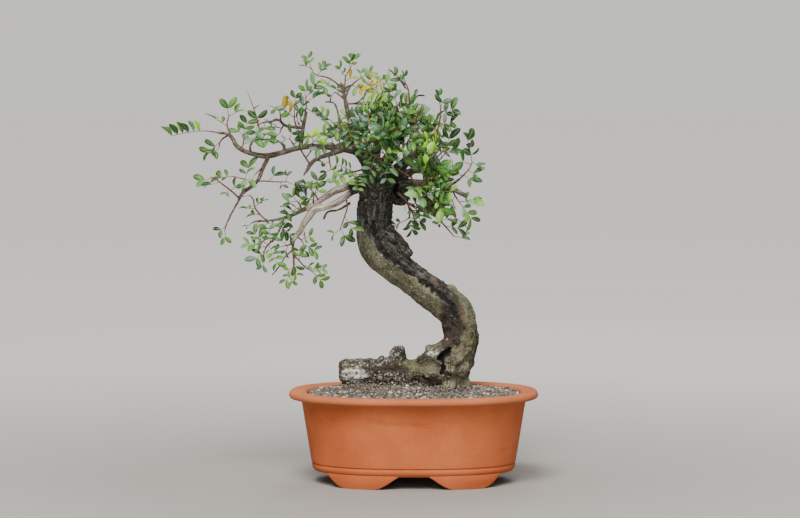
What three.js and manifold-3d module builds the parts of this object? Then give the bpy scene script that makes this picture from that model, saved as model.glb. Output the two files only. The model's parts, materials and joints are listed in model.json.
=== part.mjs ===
// Mastic tree bonsai (Pistacia lentiscus) in an oval terracotta pot, in millimetres, +Z up.
// Four kinds of piece: the fired pot, the gravelly soil that fills it, the old wood of the tree, and
// one leafy spray for each twig that carries leaves. Everything is laid out round the middle of the
// pot, with X along its long side and the front of the tree at -Y, and moved at the end so that the
// origin is the middle of the tree's own footprint on the ground.

import * as THREE from "three";
import { mergeVertices } from "three/addons/utils/BufferGeometryUtils.js";
import Module from "manifold-3d";

const wasm = await Module();
wasm.setup();

// Driving dimensions of the pot
const POT_WIDTH = 280;
const POT_DEPTH = 210;
const POT_HEIGHT = 103;
const OVAL_POWER = 2.4; // 2 is an ellipse, and larger is squarer
const POT_SIDES = 30;
const LIP_HEIGHT = 8;
const LIP_OVERHANG = 13.5;
const LIP_BREADTH = 20;
const LIP_ROUNDING = 3;
const BASE_INSET = 26.5; // from the outside of the lip to the foot of the wall
const WALL_THICKNESS = 10;
const FLOOR_THICKNESS = 8;
const BELT_TOP = 22.5;
const BELT_BOTTOM = 15.2;
const BELT_PROUD = 1.3;
const FOOT_HEIGHT = 14;
const FOOT_THICKNESS = 11;
const FOOT_START = 35; // degrees round the oval, from its long side's end
const FOOT_END = 84;
const FOOT_OUTER_SWEEP = 0.33; // share of the foot's length that curves up at each end
const FOOT_INNER_SWEEP = 0.27;
const DRAIN_HOLE_RADIUS = 10;
const DRAIN_HOLE_SPACING = 110;

// Driving dimensions of the soil
const SOIL_BELOW_LIP = 4.5;
const MOUND_HEIGHT = 9;
const MOUND_MIDDLE = [2, 16];
const MOUND_REACH = [74, 44];
const CLOD_HEIGHT = 1.1;
const BANK_HEIGHT = 7; // the soil is heaped against the lying trunk
const BANK_MIDDLE = [-66, 10];
const BANK_REACH = [26, 22];

// Driving dimensions of the wood and the leaves
const GAP = 0.3; // between a piece and what carries it
const BLADE_THICKNESS = 0.8;
const RACHIS_WIDTH = 1.6;
const PETIOLE_SUNK = 0.4; // past the middle line of the twig
const PETIOLE_SHARE = 0.3; // of a leaflet's length
const PAIR_SPACING = 0.56; // of a leaflet's length
const END_REACH = 0.75; // how far the last pair reaches past its own place, in leaflet lengths
const LEAFLET_HALF_WIDTH = 0.24;
const SINGLE_HALF_WIDTH = 0.27;
const LEAF_ARCH = 0.16; // how far a leaf's tip curves down, of its length
const USUAL_FOLD = 0.3; // how steeply the two sides of a leaf rise from its rib
const LEAF_CLEARANCE = 0.6;
const TWIG_RADIUS = 1.3;
const TWIG_TIP_RADIUS = 0.75;

const COLOURS = {
  terracotta: 0xb9713f,
  soil: 0x8a8074,
  bark: 0x6f6a5c,
  leafDark: 0x35552b,
  leafGreen: 0x4f7d33,
  leafBright: 0x7fae3a,
};

// Wood: each limb's route as [x, y, z, radius], from its parent's middle line outwards
const WOOD = {
  trunk: [
    [43, 14, 87, 17], [45, 14, 105, 16], [48, 14, 122, 16.5], [52, 14, 138, 18],
    [53, 14, 156, 20.5], [51, 14, 176, 20.3], [47, 13, 189, 20.5], [37, 12, 198, 20.3],
    [21, 12, 210, 19], [6, 12, 221, 17.8], [-6, 12, 230, 17.3], [-18, 12, 239, 18.2],
    [-31, 12, 252, 21.5], [-41, 12, 264, 22], [-45, 12, 275, 19.5], [-45, 12, 289, 19.3],
    [-44, 12, 303, 20.5], [-42, 12, 318, 19.5], [-41, 12, 338, 17], [-50, 12, 361, 10.5],
    [-57, 12, 371, 8.5],
  ],
  log: [
    [-84, 18, 122, 12.6], [-76, 18, 122, 14.3], [-49, 18, 122, 14.8], [-27, 18, 121, 15],
    [-4, 17, 120, 15.3], [16, 15, 122, 17.5], [31, 14, 125, 19], [45, 14, 120, 17],
  ],
  lobe: [
    [53, 10, 155, 13], [37, 6, 148, 12], [23, 8, 139, 12.3], [12, 12, 129, 12.5],
  ],
  knob: [
    [-19, 17, 121, 13], [-20, 17, 132, 12], [-18, 16, 141, 9.2], [-17, 16, 148, 7.8],
    [-17, 16, 151, 5],
  ],
  shoulder: [
    [-40, 18, 125, 10], [-35, 18, 133, 7.5], [-31, 18, 137, 5],
  ],
  stub: [
    [28, 8, 133, 11], [20, 7, 142, 6.8], [17, 6, 149, 4.9], [16, 6, 153, 3.6],
  ],
  root_right: [
    [49, 12, 121, 11], [56, 9, 108, 8.5], [61, 6, 93, 5],
  ],
  root_front: [
    [41, 6, 118, 11.5], [39, -4, 105, 9], [36, -14, 94, 5],
  ],
  root_back: [
    [47, 22, 120, 11.5], [52, 33, 106, 9], [57, 44, 88, 5],
  ],
  arched: [
    [-51, 12, 361, 7], [-67, 8, 371, 4.8], [-83, 4, 374, 3.7], [-105, 0, 376, 3.3],
    [-127, -4, 375, 3.2], [-146, -7, 370, 3.3], [-165, -10, 366, 3.4], [-178, -12, 368, 3],
    [-190, -14, 372, 2.7], [-198, -15, 378, 2.5], [-202, -16, 386, 2.2], [-207, -17, 390, 1.8],
    [-217, -18, 392, 1.4],
  ],
  hoop: [
    [-145, -7, 369, 1.9], [-145, -8, 377, 1.8], [-153, -9, 383, 1.1], [-167, -10, 384, 1],
    [-179, -11, 382, 1.1], [-182, -12, 377, 1.3], [-182, -12, 369, 1.5],
  ],
  knee: [
    [-77, 5, 374, 4.2], [-89, 0, 369, 3], [-99, -3, 366, 2.5], [-109, -5, 362, 2.3],
    [-115, -7, 357, 2.5], [-119, -8, 350, 2], [-123, -9, 344, 0.8],
  ],
  knee_fork: [
    [-116, -7, 357, 1.3], [-121, -6, 364, 1], [-127, -4, 374, 1],
  ],
  drop: [
    [-163, -10, 367, 3.6], [-164, -11, 361, 2.5], [-167, -13, 355, 2.2], [-170, -15, 347, 2.1],
    [-173, -17, 340, 2], [-177, -18, 335, 2], [-182, -20, 331, 2.2], [-188, -21, 327, 2.3],
    [-192, -22, 323, 1.8], [-195, -23, 316, 1.3], [-199, -24, 309, 1.2], [-205, -25, 298, 1],
  ],
  front_fork: [
    [-51, 6, 321, 8], [-60, -4, 328, 5], [-68, -7, 326, 3.8], [-79, -9, 318, 3.7],
    [-89, -11, 312, 3.8], [-100, -12, 309, 4], [-111, -12, 306, 4.6], [-117, -12, 298, 4.1],
    [-123, -13, 290, 3.7], [-127, -14, 282, 3.4], [-132, -14, 276, 3], [-135, -14, 270, 2.2],
  ],
  back_fork: [
    [-47, 14, 340, 8], [-64, 16, 337, 4.8], [-76, 17, 330, 4.2], [-88, 14, 326, 4.2],
    [-98, 8, 320, 3.7], [-106, 0, 315, 3.3], [-114, -6, 310, 3.3], [-127, -11, 304, 2.4],
    [-138, -13, 299, 2], [-149, -14, 296, 1.6], [-161, -15, 294, 1.2], [-174, -16, 293, 1],
  ],
  leader: [
    [-54, 12, 361, 7], [-61, 12, 374, 4.2], [-66, 12, 387, 3.6], [-70, 12, 400, 3.2],
    [-73, 12, 410, 3], [-75, 12, 419, 2.6], [-77, 12, 429, 2.1], [-79, 12, 439, 1.7],
    [-80, 12, 446, 1.4],
  ],
  bow: [
    [-69, 6, 377, 2], [-80, 4, 387, 1.1], [-83, 4, 397, 1.1], [-84, 5, 408, 1], [-86, 7, 418, 1],
    [-90, 9, 425, 1], [-99, 10, 426, 0.9],
  ],
  second_leader: [
    [-47, 14, 354, 9], [-42, 18, 372, 5.5], [-39, 20, 389, 4.2], [-39, 20, 406, 3],
    [-40, 18, 419, 2],
  ],
  centre_back: [
    [-40, 18, 347, 9], [-24, 34, 369, 6], [-18, 46, 388, 4.2], [-20, 54, 405, 2.6],
  ],
  left_back: [
    [-45, 18, 343, 8], [-58, 36, 362, 5.2], [-72, 50, 380, 3.6], [-80, 58, 394, 2.2],
  ],
  right_back: [
    [-33, 20, 331, 9], [-13, 40, 342, 5.5], [5, 54, 351, 3.8], [19, 62, 360, 2.2],
  ],
  centre_front: [
    [-42, 6, 339, 9], [-33, -12, 355, 5.5], [-24, -26, 371, 4], [-20, -34, 384, 2.2],
  ],
  right_leader: [
    [-36, 12, 336, 11], [-18, 12, 350, 7], [-6, 11, 363, 5.2], [2, 10, 377, 3.8],
    [3, 9, 389, 2.6], [-2, 8, 400, 2], [-9, 8, 409, 2], [-5, 8, 419, 1.7],
  ],
  right_node: [
    [-20, 4, 411, 2], [-12, 7, 414, 2.3], [-1, 10, 412, 1.9],
  ],
  right_arm: [
    [-33, 8, 325, 10], [-15, 2, 334, 6.5], [3, -3, 335, 5], [20, -6, 334, 4], [34, -7, 332, 3.3],
    [45, -7, 328, 2.9], [55, -8, 323, 2.8], [60, -8, 321, 2.7],
  ],
  right_spire_stem: [
    [12, -4, 334, 3.2], [17, -8, 346, 2.6], [21, -9, 361, 2.2], [22, -9, 372, 1.8],
    [21, -9, 380, 1.5], [24, -9, 388, 1.4], [27, -9, 394, 1.2],
  ],
  right_tip_stem: [
    [36, -7, 332, 2], [44, -8, 335, 1.6], [51, -9, 340, 1.3],
  ],
  right_low_stem: [
    [7, -4, 332, 3], [14, -12, 319, 2.2], [19, -16, 307, 1.6], [27, -18, 297, 1.2],
  ],
  inner_low_stem: [
    [-18, 4, 325, 5], [-7, -2, 313, 2.4], [-4, -4, 301, 1.5],
  ],
  cluster_stem: [
    [-145, -14, 296, 1.5], [-148, -15, 288, 1.3], [-152, -16, 279, 1.2], [-158, -17, 270, 1.1],
  ],
  hanging_stem: [
    [-134, -14, 273, 2], [-135, -14, 263, 1.4], [-134, -14, 253, 1.2], [-134, -14, 246, 1.1],
  ],
  upper_left_stem: [
    [-127, -4, 375, 2.4], [-125, -4, 384, 2.2], [-124, -4, 395, 2.2], [-122, -4, 405, 2],
    [-120, -4, 415, 1.7],
  ],
  upper_left_bar: [
    [-124, -4, 397, 2], [-134, -6, 398, 1.8], [-144, -7, 400, 1.6], [-151, -8, 406, 1.5],
    [-160, -9, 404, 1.1],
  ],
};

// Sprays: a twig's route from its branch, and its leaves, each as [share of the twig, tip of the leaf,
// pairs of leaflets or 0 for a single one, turn in degrees from facing the sky to facing the front,
// and, where it isn't the usual one, how steeply its sides fold up]
const SPRAYS = [
  {
    name: "far_left",
    twig: [[-214, -18, 391], [-224, -18, 393], [-232, -18, 394]],
    leaves: [
      [1, [-273, -19, 392], 5, 0, 1.3],
    ],
  },
  {
    name: "left_hanging",
    twig: [[-206, -17, 389], [-213, -12, 385], [-216, -10, 381], [-217, -8, 376]],
    leaves: [
      [0.7, [-236, -4, 365], 2, 60],
      [1, [-226, -13, 365], 2, 60],
    ],
  },
  {
    name: "left_upright",
    twig: [[-201, -16, 384], [-206, -13, 394], [-208, -12, 401], [-206, -12, 410]],
    leaves: [
      [1, [-209, -12, 430], 2, 70],
      [1, [-190, -8, 420], 2, 40],
    ],
  },
  {
    name: "left_crook",
    twig: [[-192, -14, 373], [-190, -8, 381], [-190, -5, 389]],
    leaves: [
      [1, [-202, 2, 398], 2, 60],
      [1, [-184, -8, 411], 2, 80],
    ],
  },
  {
    name: "left_tuft",
    twig: [[-159, -9, 404], [-168, -14, 403], [-174, -18, 400]],
    leaves: [
      [1, [-174, -20, 418], 2, 90, 0.2],
      [0.5, [-160, -29, 378], 2, 90],
    ],
  },
  {
    name: "pale_upright",
    twig: [[-148, -8, 403], [-149, -8, 413], [-150, -8, 421]],
    leaves: [
      [1, [-135, -3, 427], 2, 30],
    ],
  },
  {
    name: "yellow_tuft",
    twig: [[-131, -6, 398], [-133, -10, 407], [-133, -10, 416]],
    leaves: [
      [1, [-132, -10, 440], 2, 60],
      [0.6, [-150, -19, 425], 2, 60],
    ],
  },
  {
    name: "left_spire",
    twig: [[-121, -4, 413], [-120, -4, 423], [-121, -4, 432]],
    leaves: [
      [1, [-121, -4, 446], 2, 60],
      [0.7, [-103, 3, 436], 2, 20],
    ],
  },
  {
    name: "bright_pair",
    twig: [[-113, -2, 376], [-112, -10, 382]],
    leaves: [
      [0.8, [-114, -16, 392], 0, 90, 0.15],
      [1, [-92, -16, 396], 2, 90, 0.15],
    ],
  },
  {
    name: "blue_pair",
    twig: [[-132, -5, 374], [-135, -12, 380], [-138, -17, 385]],
    leaves: [
      [1, [-148, -21, 385], 2, 60],
    ],
  },
  {
    name: "shoulder_left",
    twig: [[-87, 3, 375], [-91, -6, 380], [-95, -12, 380]],
    leaves: [
      [1, [-112, -31, 372], 3, 60],
      [0.6, [-91, -10, 402], 2, 60],
    ],
  },
  {
    name: "drop_tip",
    twig: [[-204, -25, 299], [-208, -27, 291], [-210, -27, 284]],
    leaves: [
      [1, [-208, -28, 268], 0, 80, 0.2],
      [0.75, [-221, -30, 280], 0, 40],
    ],
  },
  {
    name: "drop_left",
    twig: [[-194, -22, 319], [-202, -28, 327], [-212, -32, 335], [-218, -34, 340], [-223, -35, 343]],
    leaves: [
      [1, [-242, -41, 337], 2, 40, 0.4],
      [0.75, [-235, -37, 333], 2, 20, 0.5],
      [0.4, [-211, -36, 322], 2, 60],
    ],
  },
  {
    name: "drop_upper",
    twig: [[-180, -19, 332], [-184, -18, 338], [-192, -16, 341], [-201, -14, 343]],
    leaves: [
      [1, [-224, -10, 343], 2, 40, 0.4],
      [0.45, [-183, -9, 362], 2, 60],
    ],
  },
  {
    name: "drop_mid",
    twig: [[-167, -14, 354], [-173, -21, 349], [-176, -25, 346]],
    leaves: [
      [1, [-185, -34, 333], 2, 60],
    ],
  },
  {
    name: "drop_right",
    twig: [[-175, -18, 338], [-165, -15, 338], [-154, -13, 337], [-141, -12, 337]],
    leaves: [
      [0.4, [-149, -17, 353], 2, 60],
      [1, [-123, -12, 330], 2, 60],
      [0.95, [-140, -10, 352], 0, 30, 0.4],
    ],
  },
  {
    name: "thin_upright",
    twig: [[-164, -15, 294], [-172, -12, 301], [-178, -11, 310], [-179, -11, 317], [-183, -11, 322]],
    leaves: [
      [0.5, [-195, -7, 310], 2, 10],
      [0.6, [-165, -7, 320], 2, 20],
    ],
  },
  {
    name: "cluster_left",
    twig: [[-156, -16, 273], [-164, -19, 265], [-167, -21, 257], [-166, -21, 250]],
    leaves: [
      [0.45, [-190, -28, 272], 2, 60],
      [0.35, [-182, -24, 285], 2, 70],
      [0.55, [-180, -33, 248], 2, 80],
    ],
  },
  {
    name: "cluster_top",
    twig: [[-146, -14, 293], [-153, -6, 288], [-159, -4, 286]],
    leaves: [
      [1, [-176, -1, 281], 2, 50],
      [0.5, [-132, 5, 273], 2, 60],
    ],
  },
  {
    name: "cluster_right",
    twig: [[-131, -14, 276], [-125, -17, 272], [-123, -19, 268]],
    leaves: [
      [0.5, [-111, -27, 279], 2, 80],
      [1, [-122, -26, 253], 2, 70],
    ],
  },
  {
    name: "hanging_bottom",
    twig: [[-134, -14, 250], [-134, -16, 243], [-136, -17, 237], [-136, -17, 232]],
    leaves: [
      [1, [-135, -17, 219], 0, 80, 0.2],
      [0.7, [-146, -21, 222], 2, 60],
      [0.6, [-127, -19, 228], 2, 60],
    ],
  },
  {
    name: "hanging_right",
    twig: [[-135, -14, 256], [-128, -12, 249], [-122, -11, 242], [-114, -11, 237]],
    leaves: [
      [0.35, [-127, -22, 267], 2, 80],
      [0.6, [-104, -18, 240], 2, 30],
      [1, [-95, -11, 242], 0, 50],
    ],
  },
  {
    name: "nest_left",
    twig: [[-125, -10, 305], [-127, -18, 312], [-130, -24, 316]],
    leaves: [
      [1, [-148, -33, 315], 3, 60],
      [0.8, [-141, -20, 329], 2, 60],
    ],
  },
  {
    name: "nest_right",
    twig: [[-112, -4, 311], [-112, -12, 317], [-111, -16, 322]],
    leaves: [
      [1, [-116, -18, 339], 2, 60],
      [1, [-101, -14, 333], 2, 60],
    ],
  },
  {
    name: "fork_front",
    twig: [[-58, 6, 350], [-68, -18, 348], [-74, -28, 347]],
    leaves: [
      [1, [-93, -42, 336], 2, 60],
      [0.6, [-88, -43, 360], 2, 60],
    ],
  },
  {
    name: "trunk_drop",
    twig: [[-76, -8, 319], [-74, -18, 309], [-78, -21, 296], [-82, -23, 284]],
    leaves: [
      [1, [-96, -25, 275], 2, 50],
      [0.95, [-73, -27, 268], 2, 70],
    ],
  },
  {
    name: "apex_left",
    twig: [[-79, 12, 439], [-89, 9, 449], [-99, 7, 454], [-109, 5, 456], [-115, 4, 464]],
    leaves: [
      [1, [-120, 2, 482], 2, 60],
      [0.75, [-96, 13, 471], 2, 60],
      [0.4, [-104, -7, 438], 2, 60],
    ],
  },
  {
    name: "apex_mid",
    twig: [[-78, 12, 435], [-77, 10, 446], [-76, 9, 455], [-71, 9, 463]],
    leaves: [
      [1, [-74, 9, 480], 2, 60],
      [1, [-66, 11, 481], 2, 60],
    ],
  },
  {
    name: "apex_right",
    twig: [[-77, 12, 429], [-71, 5, 443], [-63, 2, 450], [-59, 0, 453]],
    leaves: [
      [1, [-60, 0, 464], 0, 60],
      [1, [-43, -2, 463], 2, 70],
    ],
  },
  {
    name: "apex_yellow",
    twig: [[-76, 12, 424], [-67, 7, 424], [-58, 2, 429], [-52, -2, 438]],
    leaves: [
      [1, [-27, -21, 451], 2, 60],
      [0.8, [-49, -12, 460], 2, 70],
    ],
  },
  {
    name: "second_top",
    twig: [[-39, 19, 415], [-38, 26, 427], [-35, 29, 438], [-33, 29, 446]],
    leaves: [
      [1, [-21, 29, 457], 2, 70],
      [0.95, [-37, 29, 459], 0, 60],
    ],
  },
  {
    name: "second_front",
    twig: [[-39, 20, 399], [-47, -7, 408], [-51, -21, 413]],
    leaves: [
      [1, [-46, -45, 385], 2, 80],
      [0.8, [-64, -34, 401], 2, 60],
    ],
  },
  {
    name: "leader_front",
    twig: [[-69, 12, 397], [-73, -5, 401], [-77, -15, 404]],
    leaves: [
      [1, [-90, -29, 390], 2, 70],
      [0.8, [-67, -41, 381], 2, 80],
    ],
  },
  {
    name: "right_top",
    twig: [[-5, 8, 418], [-5, 8, 429], [-6, 8, 440], [-10, 8, 449]],
    leaves: [
      [1, [-12, 8, 461], 0, 40],
      [0.65, [-25, 8, 463], 2, 20],
    ],
  },
  {
    name: "right_node_front",
    twig: [[-16, 6, 412], [-18, -2, 419], [-19, -6, 425]],
    leaves: [
      [0.8, [-8, -18, 428], 2, 80],
      [1, [-27, -3, 446], 2, 60],
    ],
  },
  {
    name: "right_node_side",
    twig: [[-2, 10, 412], [5, 18, 408], [7, 24, 404]],
    leaves: [
      [0.6, [25, 31, 404], 2, 30],
      [1, [4, 41, 384], 2, 70],
    ],
  },
  {
    name: "right_spire",
    twig: [[26, -9, 393], [29, -12, 405], [30, -14, 416], [29, -14, 426]],
    leaves: [
      [1, [26, -14, 441], 0, 30],
      [0.75, [34, -18, 435], 2, 80],
      [0.5, [50, -18, 423], 2, 50],
    ],
  },
  {
    name: "right_column",
    twig: [[21, -9, 364], [18, 2, 370], [17, 6, 377]],
    leaves: [
      [1, [14, 8, 402], 3, 90],
      [0.6, [28, 12, 381], 2, 80],
    ],
  },
  {
    name: "right_upper",
    twig: [[19, -8, 352], [29, 0, 361], [36, 4, 369]],
    leaves: [
      [1, [41, 4, 395], 2, 60],
      [1, [54, 6, 376], 2, 80],
    ],
  },
  {
    name: "right_tip",
    twig: [[49, -9, 338], [56, -11, 345], [62, -13, 352], [65, -13, 359]],
    leaves: [
      [1, [61, -15, 394], 2, 40],
      [0.9, [44, -18, 363], 2, 60],
      [1, [77, -15, 354], 2, 50],
    ],
  },
  {
    name: "right_low_tip",
    twig: [[42, -7, 330], [47, -2, 320], [51, 0, 314]],
    leaves: [
      [1, [76, 0, 319], 2, 30],
      [1, [71, 5, 289], 2, 60],
    ],
  },
  {
    name: "right_low_sprig",
    twig: [[26, -18, 298], [33, -14, 290], [40, -13, 282], [45, -13, 276]],
    leaves: [
      [1, [64, -13, 274], 2, 40],
      [0.5, [59, -8, 285], 2, 60],
    ],
  },
  {
    name: "right_front",
    twig: [[18, -6, 334], [20, -20, 327], [22, -27, 321]],
    leaves: [
      [1, [36, -36, 301], 3, 70],
      [0.7, [1, -43, 319], 2, 60],
    ],
  },
  {
    name: "inner_low",
    twig: [[-5, -4, 304], [-5, 2, 297], [-9, 5, 293]],
    leaves: [
      [1, [-28, 11, 286], 2, 50],
    ],
  },
  {
    name: "centre_front_spray",
    twig: [[-22, -30, 377], [-18, -37, 391], [-13, -39, 400]],
    leaves: [
      [1, [-4, -42, 421], 2, 60],
      [0.6, [7, -53, 379], 2, 70],
    ],
  },
  {
    name: "centre_low_spray",
    twig: [[-31, -16, 359], [-37, -30, 364], [-43, -37, 365]],
    leaves: [
      [1, [-52, -46, 339], 2, 90],
      [0.7, [-28, -52, 337], 2, 80],
    ],
  },
  {
    name: "back_left_spray",
    twig: [[-77, 54, 387], [-86, 61, 396], [-93, 63, 403]],
    leaves: [
      [1, [-110, 63, 419], 2, 40],
      [0.6, [-105, 71, 380], 2, 40],
    ],
  },
  {
    name: "back_centre_spray",
    twig: [[-19, 50, 396], [-21, 57, 412], [-24, 59, 423]],
    leaves: [
      [1, [-37, 56, 443], 2, 40],
      [0.7, [0, 63, 430], 2, 40],
    ],
  },
  {
    name: "back_right_spray",
    twig: [[13, 58, 356], [24, 65, 369], [30, 67, 378]],
    leaves: [
      [1, [37, 67, 403], 2, 40],
      [0.7, [52, 71, 368], 2, 40],
    ],
  },
  {
    name: "back_low_spray",
    twig: [[-4, 47, 346], [1, 57, 332], [5, 62, 323]],
    leaves: [
      [1, [21, 65, 300], 2, 40],
    ],
  },
];

// A seeded random stream, so that the tree is the same each time
function seededRandom(seed) {
  let state = seed;
  return () => {
    state = (state + 0x6d2b79f5) | 0;
    let mixed = Math.imul(state ^ (state >>> 15), 1 | state);
    mixed = (mixed + Math.imul(mixed ^ (mixed >>> 7), 61 | mixed)) ^ mixed;
    return ((mixed ^ (mixed >>> 14)) >>> 0) / 4294967296;
  };
}

// Between three.js geometry and manifold solids

function toSolid(geometry) {
  const bare = new THREE.BufferGeometry();
  bare.setAttribute("position", geometry.getAttribute("position"));
  if (geometry.index) bare.setIndex(geometry.index);
  const merged = mergeVertices(bare, 1e-4);
  const mesh = new wasm.Mesh({
    numProp: 3,
    vertProperties: new Float32Array(merged.getAttribute("position").array),
    triVerts: new Uint32Array(merged.index.array),
  });
  return new wasm.Manifold(mesh);
}

// A cut can leave scraps behind, and only the largest body is the piece
function largestBody(solid) {
  return solid.decompose().reduce((best, body) => (body.volume() > best.volume() ? body : best));
}

function toGeometry(solid) {
  const mesh = solid.getMesh();
  const geometry = new THREE.BufferGeometry();
  geometry.setAttribute("position", new THREE.BufferAttribute(mesh.vertProperties, 3));
  geometry.setIndex(new THREE.BufferAttribute(mesh.triVerts, 1));
  geometry.computeVertexNormals();
  return geometry;
}

function toMesh(name, solid, colour, roughness) {
  const material = new THREE.MeshStandardMaterial({ color: colour, roughness, metalness: 0 });
  const mesh = new THREE.Mesh(toGeometry(solid), material);
  mesh.name = name;
  return mesh;
}

// A closed solid through rings of equal count, from the outside of its bottom to its last ring

function loft(rings) {
  const positions = [];
  const indices = [];
  const count = rings[0].length;
  const middle = (ring) => ring.reduce((sum, p) => sum.add(p), new THREE.Vector3()).divideScalar(count);
  rings.forEach((ring) => ring.forEach((p) => positions.push(p.x, p.y, p.z)));
  for (let level = 0; level + 1 < rings.length; level += 1) {
    for (let side = 0; side < count; side += 1) {
      const next = (side + 1) % count;
      const a = level * count + side;
      const b = level * count + next;
      indices.push(a, b, b + count, a, b + count, a + count);
    }
  }
  const first = middle(rings[0]);
  const last = middle(rings[rings.length - 1]);
  const firstIndex = positions.length / 3;
  positions.push(first.x, first.y, first.z, last.x, last.y, last.z);
  const top = (rings.length - 1) * count;
  for (let side = 0; side < count; side += 1) {
    const next = (side + 1) % count;
    indices.push(firstIndex, next, side, firstIndex + 1, top + side, top + next);
  }
  const geometry = new THREE.BufferGeometry();
  geometry.setAttribute("position", new THREE.Float32BufferAttribute(positions, 3));
  geometry.setIndex(indices);
  return geometry;
}

// The pot's plan is an oval that is a little squarer than an ellipse

function ovalPoint(angle, halfWidth, halfDepth) {
  const bulge = (value) => Math.sign(value) * Math.abs(value) ** (2 / OVAL_POWER);
  return new THREE.Vector2(halfWidth * bulge(Math.cos(angle)), halfDepth * bulge(Math.sin(angle)));
}

function ovalRing(inset, heightAt) {
  const ring = [];
  for (let side = 0; side < POT_SIDES; side += 1) {
    const angle = (side / POT_SIDES) * 2 * Math.PI;
    const p = ovalPoint(angle, POT_WIDTH / 2 - inset, POT_DEPTH / 2 - inset);
    ring.push(new THREE.Vector3(p.x, p.y, heightAt(p.x, p.y)));
  }
  return ring;
}

// Pot

const lipBottom = POT_HEIGHT - LIP_HEIGHT;
const floorTop = FOOT_HEIGHT + FLOOR_THICKNESS;

// Inset of the outer wall at a height: the wall is straight and leans outwards
function wallInset(z) {
  return THREE.MathUtils.mapLinear(z, FOOT_HEIGHT, lipBottom, BASE_INSET, LIP_OVERHANG);
}

// Each ring of the wall is given as [inset from the outside of the lip, height]. The belt is a low round
// moulding between two grooves.
const beltMiddle = (BELT_TOP + BELT_BOTTOM) / 2;
const innerStep = 45;
const OUTER_WALL = [
  [wallInset(FOOT_HEIGHT) + 1.5 * BELT_PROUD, FOOT_HEIGHT],
  [wallInset(BELT_BOTTOM) + BELT_PROUD, BELT_BOTTOM],
  [wallInset(beltMiddle), beltMiddle - 1],
  [wallInset(beltMiddle), beltMiddle + 2],
  [wallInset(BELT_TOP) + BELT_PROUD, BELT_TOP],
  [wallInset(BELT_TOP + BELT_PROUD), BELT_TOP + BELT_PROUD],
  [LIP_OVERHANG, lipBottom - 0.5],
  [1, lipBottom],
  [0, lipBottom + 3],
  [LIP_ROUNDING, POT_HEIGHT],
];
const INNER_WALL = [
  [LIP_BREADTH - LIP_ROUNDING, POT_HEIGHT],
  [LIP_BREADTH, POT_HEIGHT - LIP_ROUNDING],
  [LIP_BREADTH + 1, lipBottom - 4],
  [wallInset(innerStep) + WALL_THICKNESS, innerStep],
  [wallInset(floorTop) + WALL_THICKNESS, floorTop],
];

function potBody() {
  const rings = [...OUTER_WALL, ...INNER_WALL].map(([inset, z]) => ovalRing(inset, () => z));
  return toSolid(loft(rings));
}

// A foot is a curved bracket under one corner of the oval, with its ends swept up to the belt
function potFoot(quarter) {
  const start = THREE.MathUtils.degToRad(FOOT_START);
  const end = THREE.MathUtils.degToRad(FOOT_END);
  const steps = 6;
  const overlap = 2;
  const geometry = new THREE.BoxGeometry(1, 1, 1, steps, 1, 1);
  const position = geometry.getAttribute("position");
  for (let i = 0; i < position.count; i += 1) {
    const along = position.getX(i) + 0.5;
    const across = position.getY(i) + 0.5;
    const up = position.getZ(i) + 0.5;
    const sweep = Math.min(1, along / FOOT_OUTER_SWEEP, (1 - along) / FOOT_INNER_SWEEP);
    const bottom = FOOT_HEIGHT * (1 - Math.sin((sweep * Math.PI) / 2) ** 1.1);
    const angle = THREE.MathUtils.lerp(start, end, along);
    const turned = quarter % 2 ? Math.PI - angle : angle;
    const inset = BASE_INSET + (1 - across) * FOOT_THICKNESS;
    const p = ovalPoint(quarter > 1 ? -turned : turned, POT_WIDTH / 2 - inset, POT_DEPTH / 2 - inset);
    position.setXYZ(i, p.x, p.y, THREE.MathUtils.lerp(bottom, FOOT_HEIGHT + overlap, up));
  }
  if (quarter === 0 || quarter === 3) turnInsideOut(geometry);
  return toSolid(geometry);
}

function turnInsideOut(geometry) {
  const index = geometry.index.array;
  for (let i = 0; i < index.length; i += 3) {
    [index[i], index[i + 1]] = [index[i + 1], index[i]];
  }
}

function drainHole(x) {
  const height = FLOOR_THICKNESS + 6;
  const geometry = new THREE.CylinderGeometry(DRAIN_HOLE_RADIUS, DRAIN_HOLE_RADIUS, height, 16);
  geometry.rotateX(Math.PI / 2);
  geometry.translate(x, 0, FOOT_HEIGHT + FLOOR_THICKNESS / 2);
  return toSolid(geometry);
}

function makePot() {
  let pot = potBody();
  for (const quarter of [0, 1, 2, 3]) pot = pot.add(potFoot(quarter));
  for (const side of [-1, 1]) pot = pot.subtract(drainHole((side * DRAIN_HOLE_SPACING) / 2));
  return pot;
}

// Soil

const soilLevel = POT_HEIGHT - SOIL_BELOW_LIP;

// A round heap of soil, from its middle and how far it reaches along X and Y
function heap(x, y, height, middle, reach) {
  const away = Math.hypot((x - middle[0]) / reach[0], (y - middle[1]) / reach[1]);
  return height * Math.exp(-(away ** 2));
}

function soilHeight(x, y) {
  const mound = heap(x, y, MOUND_HEIGHT, MOUND_MIDDLE, MOUND_REACH);
  const bank = heap(x, y, BANK_HEIGHT, BANK_MIDDLE, BANK_REACH);
  const clods = Math.sin(x / 6.1 + Math.sin(y / 7.3) * 2) * Math.cos(y / 5.2 - Math.sin(x / 9.7) * 2);
  return soilLevel + mound + bank + CLOD_HEIGHT * clods;
}

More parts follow.
